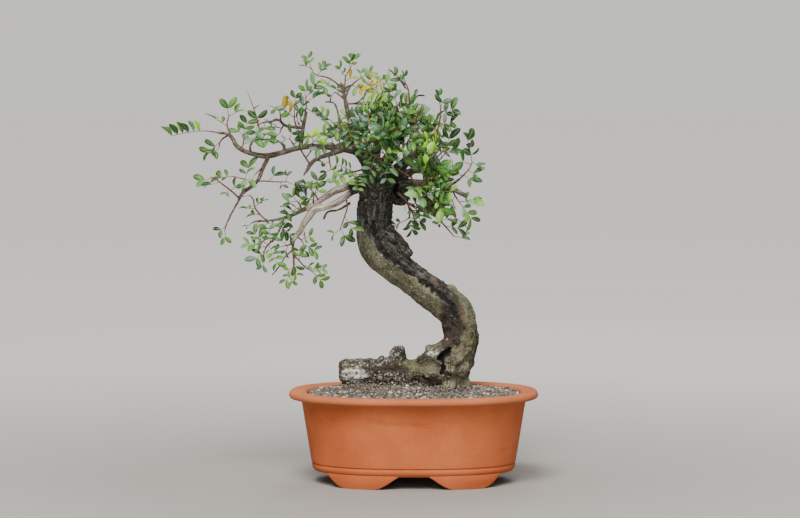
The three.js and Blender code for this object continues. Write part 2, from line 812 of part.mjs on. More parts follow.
function makeSoil(cavity) {
  const gapInset = ([inset, z]) => [inset + GAP, z];
  const walls = INNER_WALL.filter(([, z]) => z < soilLevel).map(gapInset).reverse();
  walls[0][1] += GAP;
  const rings = walls.map(([inset, z]) => ovalRing(inset, () => z));
  const edge = ovalRing(LIP_BREADTH + 1 + GAP, () => 0);
  for (const share of [0.99, 0.82, 0.64, 0.46, 0.28, 0.1]) {
    const flat = edge.map((p) => p.clone().multiplyScalar(share));
    rings.push(flat.map(({ x, y }) => new THREE.Vector3(x, y, soilHeight(x, y))));
  }
  return largestBody(toSolid(loft(rings)).subtract(cavity));
}

// Limbs: a capped cylinder is bent along a curve through the route's points, and its radius follows them

function curveThrough(route) {
  const points = route.map(([x, y, z]) => new THREE.Vector3(x, y, z));
  return new THREE.CatmullRomCurve3(points, false, "centripetal");
}

// Twisted lobes, long furrows and a dead strip, as a factor on the radius
function barkRelief(angle, length, depth) {
  const lobes = 0.06 * Math.cos(3 * angle + length / 26 + 0.6);
  const furrows = 0.045 * Math.cos(5 * angle - length / 19 + 1.3);
  const knots = 0.03 * Math.sin(length / 9.5) * Math.cos(2 * angle + length / 14);
  return 1 + depth * (lobes + furrows + knots);
}

function limb(route, { sides, relief = 0, grow = 0 }) {
  const curve = curveThrough(route);
  const steps = route.length - 1;
  const stations = [];
  let length = 0;
  let across = new THREE.Vector3(0, 1, 0);
  for (let step = 0; step <= steps; step += 1) {
    const centre = curve.getPoint(step / steps);
    const tangent = curve.getTangent(step / steps);
    across = across.clone().addScaledVector(tangent, -across.dot(tangent)).normalize();
    const other = new THREE.Vector3().crossVectors(tangent, across);
    if (step) length += centre.distanceTo(stations[step - 1].centre);
    stations.push({ centre, across, other, radius: route[step][3] + grow, length });
  }
  const geometry = new THREE.CylinderGeometry(1, 1, 1, sides, steps);
  const position = geometry.getAttribute("position");
  for (let i = 0; i < position.count; i += 1) {
    const station = stations[Math.round((position.getY(i) + 0.5) * steps)];
    const x = position.getX(i);
    const z = position.getZ(i);
    const factor = relief ? barkRelief(Math.atan2(z, x), station.length, relief) : 1;
    const p = station.centre.clone();
    p.addScaledVector(station.across, -x * factor * station.radius);
    p.addScaledVector(station.other, z * factor * station.radius);
    position.setXYZ(i, p.x, p.y, p.z);
  }
  return toSolid(geometry);
}

// Wood

const STOUT = ["log", "lobe"];
const KNOBS = ["knob", "shoulder", "stub", "root_right", "root_front", "root_back"];
const STOUT_BRANCH = 4;
const SLIM_BRANCH = 2.4;

// The thicker the limb, the more sides it has and the deeper its bark
function woodLimb(name, grow) {
  const route = WOOD[name];
  if (name === "trunk") return limb(route, { sides: 12, relief: 1, grow });
  if (STOUT.includes(name)) return limb(route, { sides: 9, relief: 0.8, grow });
  if (KNOBS.includes(name)) return limb(route, { sides: 6, relief: 0.6, grow });
  const widest = Math.max(...route.map((p) => p[3]));
  if (widest > STOUT_BRANCH) return limb(route, { sides: 6, relief: 0.4, grow });
  return limb(route, { sides: widest > SLIM_BRANCH ? 5 : 4, grow });
}

// Radius of the wood that a point lies nearest to
function branchRadius(point) {
  let best = { distance: Infinity, radius: 1 };
  for (const route of Object.values(WOOD)) {
    for (let i = 0; i + 1 < route.length; i += 1) {
      const a = new THREE.Vector3(...route[i].slice(0, 3));
      const b = new THREE.Vector3(...route[i + 1].slice(0, 3));
      const nearest = new THREE.Line3(a, b).closestPointToPoint(point, true, new THREE.Vector3());
      const distance = nearest.distanceTo(point);
      if (distance < best.distance) best = { distance, radius: Math.min(route[i][3], route[i + 1][3]) };
    }
  }
  return best.radius;
}

function makeWood(grow) {
  let wood = woodLimb("trunk", grow);
  for (const name of Object.keys(WOOD)) {
    if (name !== "trunk") wood = wood.add(woodLimb(name, grow));
  }
  return wood;
}

// The hollow that the buried wood keeps in the soil
function makeCavity() {
  return [...STOUT, ...KNOBS].reduce((sum, name) => sum.add(woodLimb(name, GAP)), woodLimb("trunk", GAP));
}

// Leaves: one thin arched blade for each, its outline cut to the rib into leaflets

function leafFrame(base, tip, turn) {
  const along = tip.clone().sub(base);
  const reach = along.length();
  along.normalize();
  const front = new THREE.Vector3(0, -1, 0);
  front.addScaledVector(along, -front.dot(along)).normalize();
  const upper = new THREE.Vector3().crossVectors(along, front);
  if (upper.z < 0) upper.negate();
  const face = new THREE.Vector3();
  face.addScaledVector(upper, Math.cos(turn)).addScaledVector(front, Math.sin(turn));
  const side = new THREE.Vector3().crossVectors(face, along);
  return { base, along, side, face, reach };
}

// Half outlines in the leaf's own plane, from petiole to tip: [forward, sideways] each
const rachisHalf = RACHIS_WIDTH / 2;

function singleOutline(reach) {
  const wide = SINGLE_HALF_WIDTH * reach;
  return [[0.1 * reach, rachisHalf], [0.42 * reach, wide], [0.74 * reach, 0.8 * wide]];
}

function leafletOutlines(pairs, reach) {
  const leaflet = reach / (PETIOLE_SHARE + PAIR_SPACING * (pairs - 0.5) + END_REACH);
  const leaflets = [];
  for (let pair = 0; pair < pairs; pair += 1) {
    const near = leaflet * (PETIOLE_SHARE + PAIR_SPACING * pair);
    const far = near + leaflet * PAIR_SPACING;
    const lean = THREE.MathUtils.degToRad(pair === pairs - 1 ? 44 : 30);
    const forward = [Math.sin(lean), Math.cos(lean)];
    const acrossIt = [Math.cos(lean), -Math.sin(lean)];
    const middle = [(near + far) / 2, rachisHalf];
    const length = leaflet * (pair === 0 ? 0.9 : 1);
    const at = (out, aside) => [
      middle[0] + forward[0] * out * length + acrossIt[0] * aside * leaflet,
      middle[1] + forward[1] * out * length + acrossIt[1] * aside * leaflet,
    ];
    leaflets.push({
      near: [near, rachisHalf],
      far: [far, rachisHalf],
      shoulders: [at(0.5, -LEAFLET_HALF_WIDTH), at(0.5, LEAFLET_HALF_WIDTH)],
      tip: at(1, 0),
    });
  }
  return leaflets;
}

// Faces and rim of a single oval leaflet, from points that `add` places in the leaf's plane
function singleBlade(reach, root, add) {
  const outline = singleOutline(reach);
  const left = outline.map((p) => add(p));
  const right = outline.map(([forward, sideways]) => add([forward, -sideways]));
  const tip = add([reach, 0]);
  const faces = [[root, right[0], left[0]], [right[2], tip, left[2]]];
  for (const i of [0, 1]) {
    faces.push([right[i], right[i + 1], left[i + 1]], [right[i], left[i + 1], left[i]]);
  }
  return { faces, rim: [root, ...right, tip, ...left.reverse()] };
}

// Faces and rim of a leaf with its leaflets in pairs along the rachis
function pinnateBlade(pairs, reach, root, add) {
  const leaflets = leafletOutlines(pairs, reach);
  const faces = [];
  const [left, right] = [1, -1].map((sign) => {
    const put = ([forward, sideways]) => add([forward, sign * sideways]);
    const ribs = [put(leaflets[0].near)];
    const edge = [ribs[0]];
    for (const leaflet of leaflets) {
      const near = ribs[ribs.length - 1];
      const [lower, upper] = leaflet.shoulders.map(put);
      const tip = put(leaflet.tip);
      const far = put(leaflet.far);
      const [a, b, c, d] = sign > 0 ? [near, far, upper, lower] : [far, near, lower, upper];
      faces.push([a, b, c], [a, c, d], [d, c, tip]);
      edge.push(lower, tip, upper, far);
      ribs.push(far);
    }
    return { ribs, edge };
  });
  faces.push([root, right.ribs[0], left.ribs[0]]);
  for (let i = 0; i < pairs; i += 1) {
    faces.push([right.ribs[i], right.ribs[i + 1], left.ribs[i + 1]]);
    faces.push([right.ribs[i], left.ribs[i + 1], left.ribs[i]]);
  }
  return { faces, rim: [root, ...right.edge, ...left.edge.reverse()] };
}

// The blade is a sheet over the leaf's plane, folded up from its rib and arched down towards its tip
function leafBlade({ base, along, side, face, reach }, pairs, fold, thickness) {
  const positions = [];
  const halfThickness = (thickness / 2) * Math.hypot(1, fold);
  const add = ([forward, sideways]) => {
    const rise = fold * Math.max(0, Math.abs(sideways) - rachisHalf);
    const height = rise - (LEAF_ARCH * forward * forward) / reach;
    for (const offset of [halfThickness, -halfThickness]) {
      const p = base.clone().addScaledVector(along, forward).addScaledVector(side, sideways);
      p.addScaledVector(face, height + offset);
      positions.push(p.x, p.y, p.z);
    }
    return positions.length / 3 - 2;
  };
  const root = add([-PETIOLE_SUNK, 0]);
  const { faces, rim } = pairs ? pinnateBlade(pairs, reach, root, add) : singleBlade(reach, root, add);
  const indices = [];
  for (const [a, b, c] of faces) indices.push(a, b, c, c + 1, b + 1, a + 1);
  rim.forEach((a, i) => {
    const b = rim[(i + 1) % rim.length];
    indices.push(b, a, a + 1, b, a + 1, b + 1);
  });
  const geometry = new THREE.BufferGeometry();
  geometry.setAttribute("position", new THREE.Float32BufferAttribute(positions, 3));
  geometry.setIndex(indices);
  return toSolid(geometry);
}

// Sprays: all twigs first, and then the leaves one by one, each bent clear of every other spray

// Degrees that a leaf may turn aside and up, tried in this order until it is clear
const SMALL_BENDS = [[0, 0], [10, 0], [-10, 0], [0, 10], [0, -10]];
const BENDS = [...SMALL_BENDS, [20, 8], [-20, 8], [20, -8], [-20, -8], [32, 0], [-32, 0]];

function crosses(solid, box, obstacles) {
  return obstacles.some((other) => {
    const apart = [0, 1, 2].some((k) => box.max[k] < other.box.min[k] || box.min[k] > other.box.max[k]);
    return !apart && !solid.intersect(other.solid).isEmpty();
  });
}

const withBox = (solid) => ({ solid, box: solid.boundingBox() });

function growLeaf(leaf, base, obstacles) {
  const [, tipPoint, pairs, turn, fold = USUAL_FOLD] = leaf;
  const tip = new THREE.Vector3(...tipPoint);
  for (const [aside, up] of BENDS) {
    const frame = leafFrame(base, tip, THREE.MathUtils.degToRad(turn));
    frame.along.applyAxisAngle(frame.face, THREE.MathUtils.degToRad(aside));
    frame.side.crossVectors(frame.face, frame.along);
    frame.along.applyAxisAngle(frame.side, THREE.MathUtils.degToRad(up));
    frame.face.crossVectors(frame.along, frame.side);
    const stout = leafBlade(frame, pairs, fold, BLADE_THICKNESS + 2 * LEAF_CLEARANCE);
    if (!crosses(stout, stout.boundingBox(), obstacles)) {
      return leafBlade(frame, pairs, fold, BLADE_THICKNESS);
    }
  }
  return null;
}

// A twig starts on the middle line of its branch, and is cut back to a gap outside its bark
function twigRoute({ twig }) {
  const start = Math.min(TWIG_RADIUS, 0.9 * branchRadius(new THREE.Vector3(...twig[0])));
  const radiusAt = (i) => THREE.MathUtils.lerp(start, TWIG_TIP_RADIUS, i / (twig.length - 1));
  return twig.map(([x, y, z], i) => [x, y, z, radiusAt(i)]);
}

function makeSprays(wood, thickWood) {
  const uncut = SPRAYS.map((spray) => limb(twigRoute(spray), { sides: 4 }));
  const twigs = uncut.map((twig) => withBox(largestBody(twig.subtract(thickWood))));
  const blades = SPRAYS.map(() => []);
  SPRAYS.forEach((spray, own) => {
    const isOther = (_, i) => i !== own;
    for (const leaf of spray.leaves) {
      const obstacles = [withBox(wood), ...twigs.filter(isOther), ...blades.filter(isOther).flat()];
      const base = curveThrough(spray.twig).getPointAt(leaf[0]);
      const blade = growLeaf(leaf, base, obstacles);
      if (blade) blades[own].push(withBox(blade));
    }
  });
  return twigs.map((twig, own) => blades[own].reduce((sum, { solid }) => sum.add(solid), twig.solid));
}

// Assembly

const wood = makeWood(0);
const group = new THREE.Group();
group.add(toMesh("pot", makePot(), COLOURS.terracotta, 0.85));
group.add(toMesh("soil", makeSoil(makeCavity()), COLOURS.soil, 0.95));
group.add(toMesh("tree_wood", wood, COLOURS.bark, 0.9));

const pickTone = seededRandom(20);
const LEAF_TONES = [COLOURS.leafDark, COLOURS.leafGreen, COLOURS.leafGreen, COLOURS.leafBright];
makeSprays(wood, makeWood(GAP)).forEach((solid, i) => {
  const colour = LEAF_TONES[Math.floor(pickTone() * LEAF_TONES.length)];
  group.add(toMesh(`spray_${SPRAYS[i].name}`, solid, colour, 0.55));
});

// The origin is the middle of the whole tree's footprint, on the ground
const extent = new THREE.Box3().setFromObject(group);
const centre = extent.getCenter(new THREE.Vector3());
group.position.set(-centre.x, -centre.y, -extent.min.z);
group.updateMatrixWorld(true);

export default group;
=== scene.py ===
# %% [markdown]
# # A mastic tree bonsai in its oval terracotta pot
#
# The tree is an old mastic: a log-like lower trunk lies on the soil, a younger trunk rises from it in an S,
# and a light crown of pinnate leaves leans to the left. A plain model of the same tree is loaded first. It
# settles every size and place. The pieces made here stand where its pieces stand, with a finer surface.
#
# Lengths below are in millimetres from the middle of the pot, with +X to the right, +Y to the back and +Z
# up. The function `at` turns them into Blender's metres.

# %% Load the plain model
import json
import math
import random
from collections import namedtuple

import bpy
import numpy as np
from mathutils import Euler, Matrix, Vector, noise
from mathutils.bvhtree import BVHTree
from mathutils.kdtree import KDTree

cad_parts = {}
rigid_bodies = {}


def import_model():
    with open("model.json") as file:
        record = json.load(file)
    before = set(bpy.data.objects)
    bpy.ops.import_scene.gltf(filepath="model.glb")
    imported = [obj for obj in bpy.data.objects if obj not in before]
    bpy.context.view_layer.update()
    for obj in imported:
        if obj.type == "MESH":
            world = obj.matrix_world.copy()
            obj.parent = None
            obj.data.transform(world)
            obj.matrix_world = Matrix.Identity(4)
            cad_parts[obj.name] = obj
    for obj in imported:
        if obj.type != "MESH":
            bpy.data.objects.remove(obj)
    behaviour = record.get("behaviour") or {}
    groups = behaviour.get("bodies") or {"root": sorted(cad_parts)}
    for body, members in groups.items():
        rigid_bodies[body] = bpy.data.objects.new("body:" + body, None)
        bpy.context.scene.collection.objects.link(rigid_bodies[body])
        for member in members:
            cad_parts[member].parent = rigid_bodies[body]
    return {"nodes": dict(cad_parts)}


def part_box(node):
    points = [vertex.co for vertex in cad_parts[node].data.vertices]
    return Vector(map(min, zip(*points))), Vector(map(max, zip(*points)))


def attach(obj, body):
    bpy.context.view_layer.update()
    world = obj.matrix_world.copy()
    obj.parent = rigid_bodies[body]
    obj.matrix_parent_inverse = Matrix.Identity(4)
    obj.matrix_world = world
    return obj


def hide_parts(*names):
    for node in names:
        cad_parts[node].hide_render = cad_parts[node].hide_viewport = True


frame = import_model()
bpy.ops.object.select_all(action="DESELECT")
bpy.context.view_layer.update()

MM = 0.001
pot_low, pot_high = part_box("pot")
POT_MIDDLE = (pot_low + pot_high) / 2


def at(x, y, z):
    """A point given in millimetres from the middle of the pot, in metres."""
    return Vector((POT_MIDDLE.x + x * MM, POT_MIDDLE.y + y * MM, z * MM))


def to_mm(co):
    """A point in metres, as millimetres from the middle of the pot."""
    return ((co.x - POT_MIDDLE.x) / MM, (co.y - POT_MIDDLE.y) / MM, co.z / MM)


def clamped(value, low=0.0, high=1.0):
    """A value kept between two limits."""
    return min(high, max(low, value))


print("plain nodes:", len(frame["nodes"]), "- pot middle:", tuple(round(v, 4) for v in POT_MIDDLE))

# %% [markdown]
# ## Small tools
#
# Operators act on whatever is selected, so each step starts by selecting one piece alone. A modifier is
# added, given its settings and applied at once, so that no piece keeps a live one.

# %% Helpers for selecting, modifying and finishing a piece


def pick(piece):
    """Makes one object the only selected and the active one."""
    bpy.ops.object.select_all(action="DESELECT")
    piece.select_set(True)
    bpy.context.view_layer.objects.active = piece


def modify(piece, kind, **settings):
    """Adds a modifier, sets it and applies it."""
    pick(piece)
    modifier = piece.modifiers.new(kind.title(), kind)
    for name, value in settings.items():
        setattr(modifier, name, value)
    bpy.ops.object.modifier_apply(modifier=modifier.name)


def settle(piece):
    """Moves a piece's place into its mesh, so that its object sits at the origin."""
    pick(piece)
    bpy.ops.object.transform_apply(location=True, rotation=True, scale=True)


def smooth(piece):
    """Shades all faces of a piece smoothly."""
    pick(piece)
    bpy.ops.object.shade_smooth()


def tidy_shell(piece, merge=0.00002):
    """Merges doubled vertices and turns every face outwards."""
    pick(piece)
    bpy.ops.object.mode_set(mode="EDIT")
    bpy.ops.mesh.select_all(action="SELECT")
    bpy.ops.mesh.remove_doubles(threshold=merge)
    bpy.ops.mesh.normals_make_consistent(inside=False)
    bpy.ops.object.mode_set(mode="OBJECT")


def triangles(piece):
    """How many triangles a piece has."""
    return sum(len(face.vertices) - 2 for face in piece.data.polygons)


def finish_piece(piece, slot_name, material, *replaced):
    """Gives a piece its material and body, and hides the plain nodes that it stands for."""
    piece.data.materials.clear()
    piece.data.materials.append(material)
    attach(piece, "root")
    if replaced:
        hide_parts(*replaced)
    print(piece.name, "-", triangles(piece), "triangles")


# %% [markdown]
# ## Node helpers
#
# Every finish is a small node tree over one Principled shader. A finish starts from one colour, often a ramp
# over noise, and further colours are then laid over it in coats, each where its own mask lets it show. Values
# that are the same all over a piece are set on the shader itself. Colours are given as a screen shows them,
# from 0 to 255, and are turned into the linear light that shaders work with.

# %% Helpers for material nodes


def srgb(red, green, blue):
    """A colour given as screen values, in linear light and opaque."""
    linear = [((v / 255 + 0.055) / 1.055) ** 2.4 if v > 10 else v / 255 / 12.92 for v in (red, green, blue)]
    return (*linear, 1.0)


def fill_ramp(ramp, stops):
    """Gives a colour ramp its stops, each a place from 0 to 1 and a colour in linear light."""
    while len(ramp.elements) < len(stops):
        ramp.elements.new(1.0)
    for element, (position, colour) in zip(ramp.elements, stops):
        element.position = position
        element.color = colour


class Finish:
    """A material with one Principled shader, and short ways to add nodes to it."""

    def __init__(self, name, roughness, specular=0.5):
        self.material = bpy.data.materials.new(name)
        self.material.use_nodes = True
        self.nodes = self.material.node_tree.nodes
        self.links = self.material.node_tree.links
        self.shader = self.nodes["Principled BSDF"]
        self.shader.inputs["Roughness"].default_value = roughness
        self.shader.inputs["Specular IOR Level"].default_value = specular
        self.place = self.nodes.new("ShaderNodeTexCoord").outputs["Object"]
        self.colour = None

    def link(self, source, target):
        self.links.new(source, target)

    def attribute(self, name, output="Fac"):
        """The value stored on the mesh under a name."""
        node = self.nodes.new("ShaderNodeAttribute")
        node.attribute_name = name
        return node.outputs[output]

    def part(self, vector, axis):
        """One of the three numbers of a position."""
        node = self.nodes.new("ShaderNodeSeparateXYZ")
        self.link(vector, node.inputs["Vector"])
        return node.outputs[axis]

    def stretched(self, scale):
        """Object coordinates stretched along the axes."""
        node = self.nodes.new("ShaderNodeMapping")
        node.inputs["Scale"].default_value = scale
        self.link(self.place, node.inputs["Vector"])
        return node.outputs["Vector"]

    def noise(self, scale, detail=3.0, rough=0.55, place=None):
        """Soft noise, with its scale in waves per metre."""
        node = self.nodes.new("ShaderNodeTexNoise")
        node.inputs["Scale"].default_value = scale
        node.inputs["Detail"].default_value = detail
        node.inputs["Roughness"].default_value = rough
        self.link(place or self.place, node.inputs["Vector"])
        return node.outputs["Fac"]

    def cells(self, scale):
        """Distance from the middles of rounded cells, with their scale in cells per metre."""
        node = self.nodes.new("ShaderNodeTexVoronoi")
        node.inputs["Scale"].default_value = scale
        self.link(self.place, node.inputs["Vector"])
        return node.outputs["Distance"]

    def ramp(self, factor, *stops, interpolation="LINEAR"):
        """A colour ramp: each stop is a place from 0 to 1 and a colour."""
        node = self.nodes.new("ShaderNodeValToRGB")
        node.color_ramp.interpolation = interpolation
        fill_ramp(node.color_ramp, [(position, srgb(*colour)) for position, colour in stops])
        self.link(factor, node.inputs["Fac"])
        return node.outputs["Color"]

    def mask(self, factor, low, high):
        """A soft switch that is 0 at low and 1 at high."""
        node = self.nodes.new("ShaderNodeMapRange")
        node.interpolation_type = "SMOOTHSTEP"
        node.inputs["From Min"].default_value = low
        node.inputs["From Max"].default_value = high
        self.link(factor, node.inputs["Value"])
        return node.outputs["Result"]

    def maths(self, operation, first, second=0.0):
        """One step of arithmetic on two values or sockets."""
        node = self.nodes.new("ShaderNodeMath")
        node.operation = operation
        for socket, value in zip(node.inputs, (first, second)):
            if isinstance(value, (int, float)):
                socket.default_value = value
            else:
                self.link(value, socket)
        return node.outputs["Value"]

    def times(self, first, second):
        return self.maths("MULTIPLY", first, second)

    def plus(self, first, second):
        return self.maths("ADD", first, second)

    def mix(self, factor, first, second):
        """A mix of two colours."""
        node = self.nodes.new("ShaderNodeMix")
        node.data_type = "RGBA"
        for socket, value in zip((node.inputs[0], node.inputs[6], node.inputs[7]), (factor, first, second)):
            if isinstance(value, (int, float)):
                socket.default_value = value
            elif isinstance(value, tuple):
                socket.default_value = srgb(*value)
            else:
                self.link(value, socket)
        return node.outputs[2]

    def coat(self, share, colour, strength=1.0):
        """Lays a colour over the finish where a share from 0 to 1 lets it show."""
        if strength < 1:
            share = self.times(share, strength)
        self.colour = self.mix(share, self.colour, colour)

    def bump(self, height, depth, strength=1.0, under=None):
        """A bump whose depth is in metres."""
        node = self.nodes.new("ShaderNodeBump")
        node.inputs["Strength"].default_value = strength
        node.inputs["Distance"].default_value = depth
        self.link(height, node.inputs["Height"])
        if under:
            self.link(under, node.inputs["Normal"])
        return node.outputs["Normal"]

    def done(self, normal=None):
        """Joins the colour, and a bump if there is one, to the shader."""
        self.link(self.colour, self.shader.inputs["Base Color"])
        if normal:
            self.link(normal, self.shader.inputs["Normal"])
        return self.material


# %% [markdown]
# ## Camera
#
# The pot's lip is 280 mm long, and the photograph was taken with a long lens from about three metres away,
# a little above the lip. The same camera is set here, so that the render can be laid over it.

# %% Camera
CAMERA_DISTANCE = 3073
CAMERA_HEIGHT = 438
CAMERA_ASIDE = -15.3
CAMERA_PITCH = math.radians(3.5)
FOCAL_LENGTH = 123.5
SENSOR_WIDTH = 36
FARTHEST_SEEN = 50

bpy.ops.object.camera_add(
    location=at(CAMERA_ASIDE, -CAMERA_DISTANCE, CAMERA_HEIGHT),
    rotation=(math.pi / 2 - CAMERA_PITCH, 0, 0),
)
camera = bpy.context.object
camera.name = "camera"
camera.data.lens = FOCAL_LENGTH
camera.data.sensor_width = SENSOR_WIDTH
camera.data.clip_end = FARTHEST_SEEN
bpy.context.scene.camera = camera
print("camera at", tuple(round(v, 3) for v in camera.location))

# %% [markdown]
# ## Pot
#
# The real pot is pressed from plain red clay and fired without a glaze. Its plan is an oval that is a little
# squarer than an ellipse. A circle with a filled middle is pulled into that oval, and its edge is then
# extruded ring by ring: up the belt and the wall, round the lip and down inside to the floor. Every ring is
# the same oval, only smaller, so one scaling follows each extrusion. Spin wouldn't do, because it makes only
# round pots.

# %% Sizes of the pot
POT_WIDTH = 280
POT_DEPTH = 210
POT_HEIGHT = 103
OVAL_POWER = 2.4
LIP_HEIGHT = 8
LIP_OVERHANG = 13.5
LIP_BREADTH = 20
LIP_ROUNDING = 3
LIP_BOTTOM = POT_HEIGHT - LIP_HEIGHT
BASE_INSET = 26.5
WALL_THICKNESS = 10
FLOOR_THICKNESS = 8
BELT_TOP = 22.5
BELT_BOTTOM = 15.2
BELT_PROUD = 1.3
FOOT_HEIGHT = 14
FOOT_THICKNESS = 11
FOOT_START = 35
FOOT_END = 84
FOOT_OUTER_SWEEP = 0.36
FOOT_INNER_SWEEP = 0.27
FOOT_SUNK_IN = 1.2
FOOT_SLICES = 20
FOOT_BEVEL = 1.4
DRAIN_HOLE_RADIUS = 10
DRAIN_HOLE_SPACING = 110
DRAIN_HOLE_SIDES = 40
POT_SIDES = 160


def oval(angle, inset):
    """A point of the oval that lies a given inset from the outside of the lip."""
    reach = [POT_WIDTH / 2 - inset, POT_DEPTH / 2 - inset]
    turn = [math.cos(angle), math.sin(angle)]
    return [r * math.copysign(abs(t) ** (2 / OVAL_POWER), t) for r, t in zip(reach, turn)]


def wall_inset(z):
    """Inset of the straight, leaning wall at a height."""
    rise = (z - FOOT_HEIGHT) / (LIP_BOTTOM - FOOT_HEIGHT)
    return BASE_INSET + (LIP_OVERHANG - BASE_INSET) * rise


def inner_ring(z, more=0.0):
    """A ring on the inside of the wall, with any further inset."""
    return (wall_inset(z) + WALL_THICKNESS + more, z)


def arc(inset, z, radius, start, end, steps=5):
    """Rings round a soft edge: angles in degrees, with 0 pointing out and 90 up."""
    angles = [math.radians(start + (end - start) * i / steps) for i in range(steps + 1)]
    return [(inset - radius * math.cos(a), z + radius * math.sin(a)) for a in angles]


# %% Rings of the pot's wall, from the edge of its underside to its floor
belt_middle = (BELT_TOP + BELT_BOTTOM) / 2
belt_half = (BELT_TOP - BELT_BOTTOM) / 2
belt_rings = []
for share in (-0.8, -0.5, -0.1, 0.3, 0.6, 0.85):
    ring_z = belt_middle + share * belt_half
    bulge = BELT_PROUD * (1 - share * share)
    belt_rings.append((wall_inset(ring_z) + 0.9 * BELT_PROUD - bulge, ring_z))

FLOOR_TOP = FOOT_HEIGHT + FLOOR_THICKNESS
POT_RINGS = [
    (wall_inset(FOOT_HEIGHT) + 2.6 * BELT_PROUD, FOOT_HEIGHT),
    (wall_inset(FOOT_HEIGHT) + 1.3 * BELT_PROUD, FOOT_HEIGHT + 0.3),
    (wall_inset(BELT_BOTTOM) + 1.2 * BELT_PROUD, BELT_BOTTOM),
    *belt_rings,
    (wall_inset(BELT_TOP) + BELT_PROUD, BELT_TOP),
    (wall_inset(BELT_TOP) + 0.9 * BELT_PROUD, BELT_TOP + 0.5),
    (wall_inset(BELT_TOP + 1.5), BELT_TOP + 1.5),
    *[(wall_inset(z), z) for z in (27, 36, 48, 60, 72, 82)],
    (LIP_OVERHANG + 0.4, LIP_BOTTOM - 3.5),
    (LIP_OVERHANG - 0.6, LIP_BOTTOM - 1.4),
    (LIP_OVERHANG - 2.6, LIP_BOTTOM - 0.4),
    (5.0, LIP_BOTTOM),
    *arc(3.4, LIP_BOTTOM + 3.4, 3.4, -80, 0),
    *arc(4.2, POT_HEIGHT - 4.5, 4.2, 10, 75),
    (6.5, POT_HEIGHT - 0.1),
    (9.5, POT_HEIGHT),
    (12.5, POT_HEIGHT - 0.2),
    (15, POT_HEIGHT - 0.8),
    *arc(LIP_BREADTH - LIP_ROUNDING, POT_HEIGHT - LIP_ROUNDING - 1, LIP_ROUNDING, 80, 180),
    (LIP_BREADTH + 1, LIP_BOTTOM - 4),
    inner_ring(45),
    inner_ring(24),
    inner_ring(FLOOR_TOP, 3),
]
print("pot rings:", len(POT_RINGS))

# %% Extrude the pot, ring by ring


def extrude_rings(name, rings, sides):
    """A closed oval body through rings of (inset, height), by extruding and scaling a circle's edge."""
    bpy.ops.mesh.primitive_circle_add(vertices=sides, radius=1, fill_type="NGON", location=(0, 0, 0))
    body = bpy.context.object
    body.name = name
    for i, vertex in enumerate(body.data.vertices):
        x, y = oval(2 * math.pi * i / sides, rings[0][0])
        vertex.co = at(x, y, rings[0][1])
    bpy.ops.object.mode_set(mode="EDIT")
    bpy.ops.mesh.select_mode(type="EDGE")
    bpy.ops.mesh.select_all(action="DESELECT")
    bpy.ops.mesh.select_non_manifold()
    for (inset, z), (next_inset, next_z) in zip(rings, rings[1:]):
        bpy.ops.mesh.extrude_edges_move(TRANSFORM_OT_translate={"value": (0, 0, (next_z - z) * MM)})
        grow_x = (POT_WIDTH / 2 - next_inset) / (POT_WIDTH / 2 - inset)
        grow_y = (POT_DEPTH / 2 - next_inset) / (POT_DEPTH / 2 - inset)
        bpy.ops.transform.resize(value=(grow_x, grow_y, 1), center_override=at(0, 0, next_z))
    bpy.ops.mesh.edge_face_add()
    bpy.ops.object.mode_set(mode="OBJECT")
    tidy_shell(body)
    return body


pot = extrude_rings("terracotta_pot", POT_RINGS, POT_SIDES)
print("pot body:", triangles(pot), "triangles")

# %% [markdown]
# The pot stands on four curved brackets, one under each corner of the oval, with swept ends. Each starts as
# a cube that is cut into slices along its length. Its slices are then laid along the oval, and a bevel rounds
# its edges before it is united with the body. Two drain holes go through the floor.

# %% Feet and drain holes


def add_foot(quarter):
    """One foot, bent along the oval under a corner of the pot."""
    bpy.ops.mesh.primitive_cube_add(size=1, location=(0, 0, 0))
    foot = bpy.context.object
    foot.name = f"pot_foot_{quarter}"
    bpy.ops.object.mode_set(mode="EDIT")
    for cut in range(1, FOOT_SLICES):
        bpy.ops.mesh.select_all(action="SELECT")
        bpy.ops.mesh.bisect(plane_co=(cut / FOOT_SLICES - 0.5, 0, 0), plane_no=(1, 0, 0))
    bpy.ops.object.mode_set(mode="OBJECT")
    for vertex in foot.data.vertices:
        along, across, up = (value + 0.5 for value in vertex.co)
        sweep = min(1, along / FOOT_OUTER_SWEEP, (1 - along) / FOOT_INNER_SWEEP)
        bottom = FOOT_HEIGHT * (1 - math.sin(sweep * math.pi / 2) ** 1.1)
        angle = math.radians(FOOT_START + (FOOT_END - FOOT_START) * along)
        turned = math.pi - angle if quarter % 2 else angle
        inset = BASE_INSET + (1 - across) * FOOT_THICKNESS
        x, y = oval(-turned if quarter > 1 else turned, inset)
        vertex.co = at(x, y, bottom + (FOOT_HEIGHT + FOOT_SUNK_IN - bottom) * up)
    tidy_shell(foot)
    modify(foot, "BEVEL", width=FOOT_BEVEL * MM, segments=3, angle_limit=math.radians(50))
    return foot


def join_by(piece, other, operation):
    """Adds or cuts another solid, which is then removed."""
    modify(piece, "BOOLEAN", operation=operation, object=other, solver="EXACT")
    bpy.data.objects.remove(other)


for quarter in range(4):
    join_by(pot, add_foot(quarter), "UNION")
for side in (-1, 1):
    bpy.ops.mesh.primitive_cylinder_add(
        vertices=DRAIN_HOLE_SIDES,
        radius=DRAIN_HOLE_RADIUS * MM,
        depth=3 * FLOOR_THICKNESS * MM,
        location=at(side * DRAIN_HOLE_SPACING / 2, 0, FOOT_HEIGHT + FLOOR_THICKNESS / 2),
    )
    drill = bpy.context.object
    settle(drill)
    join_by(pot, drill, "DIFFERENCE")
pick(pot)
bpy.ops.object.shade_smooth_by_angle(angle=math.radians(38))
print("pot with feet:", triangles(pot), "triangles")
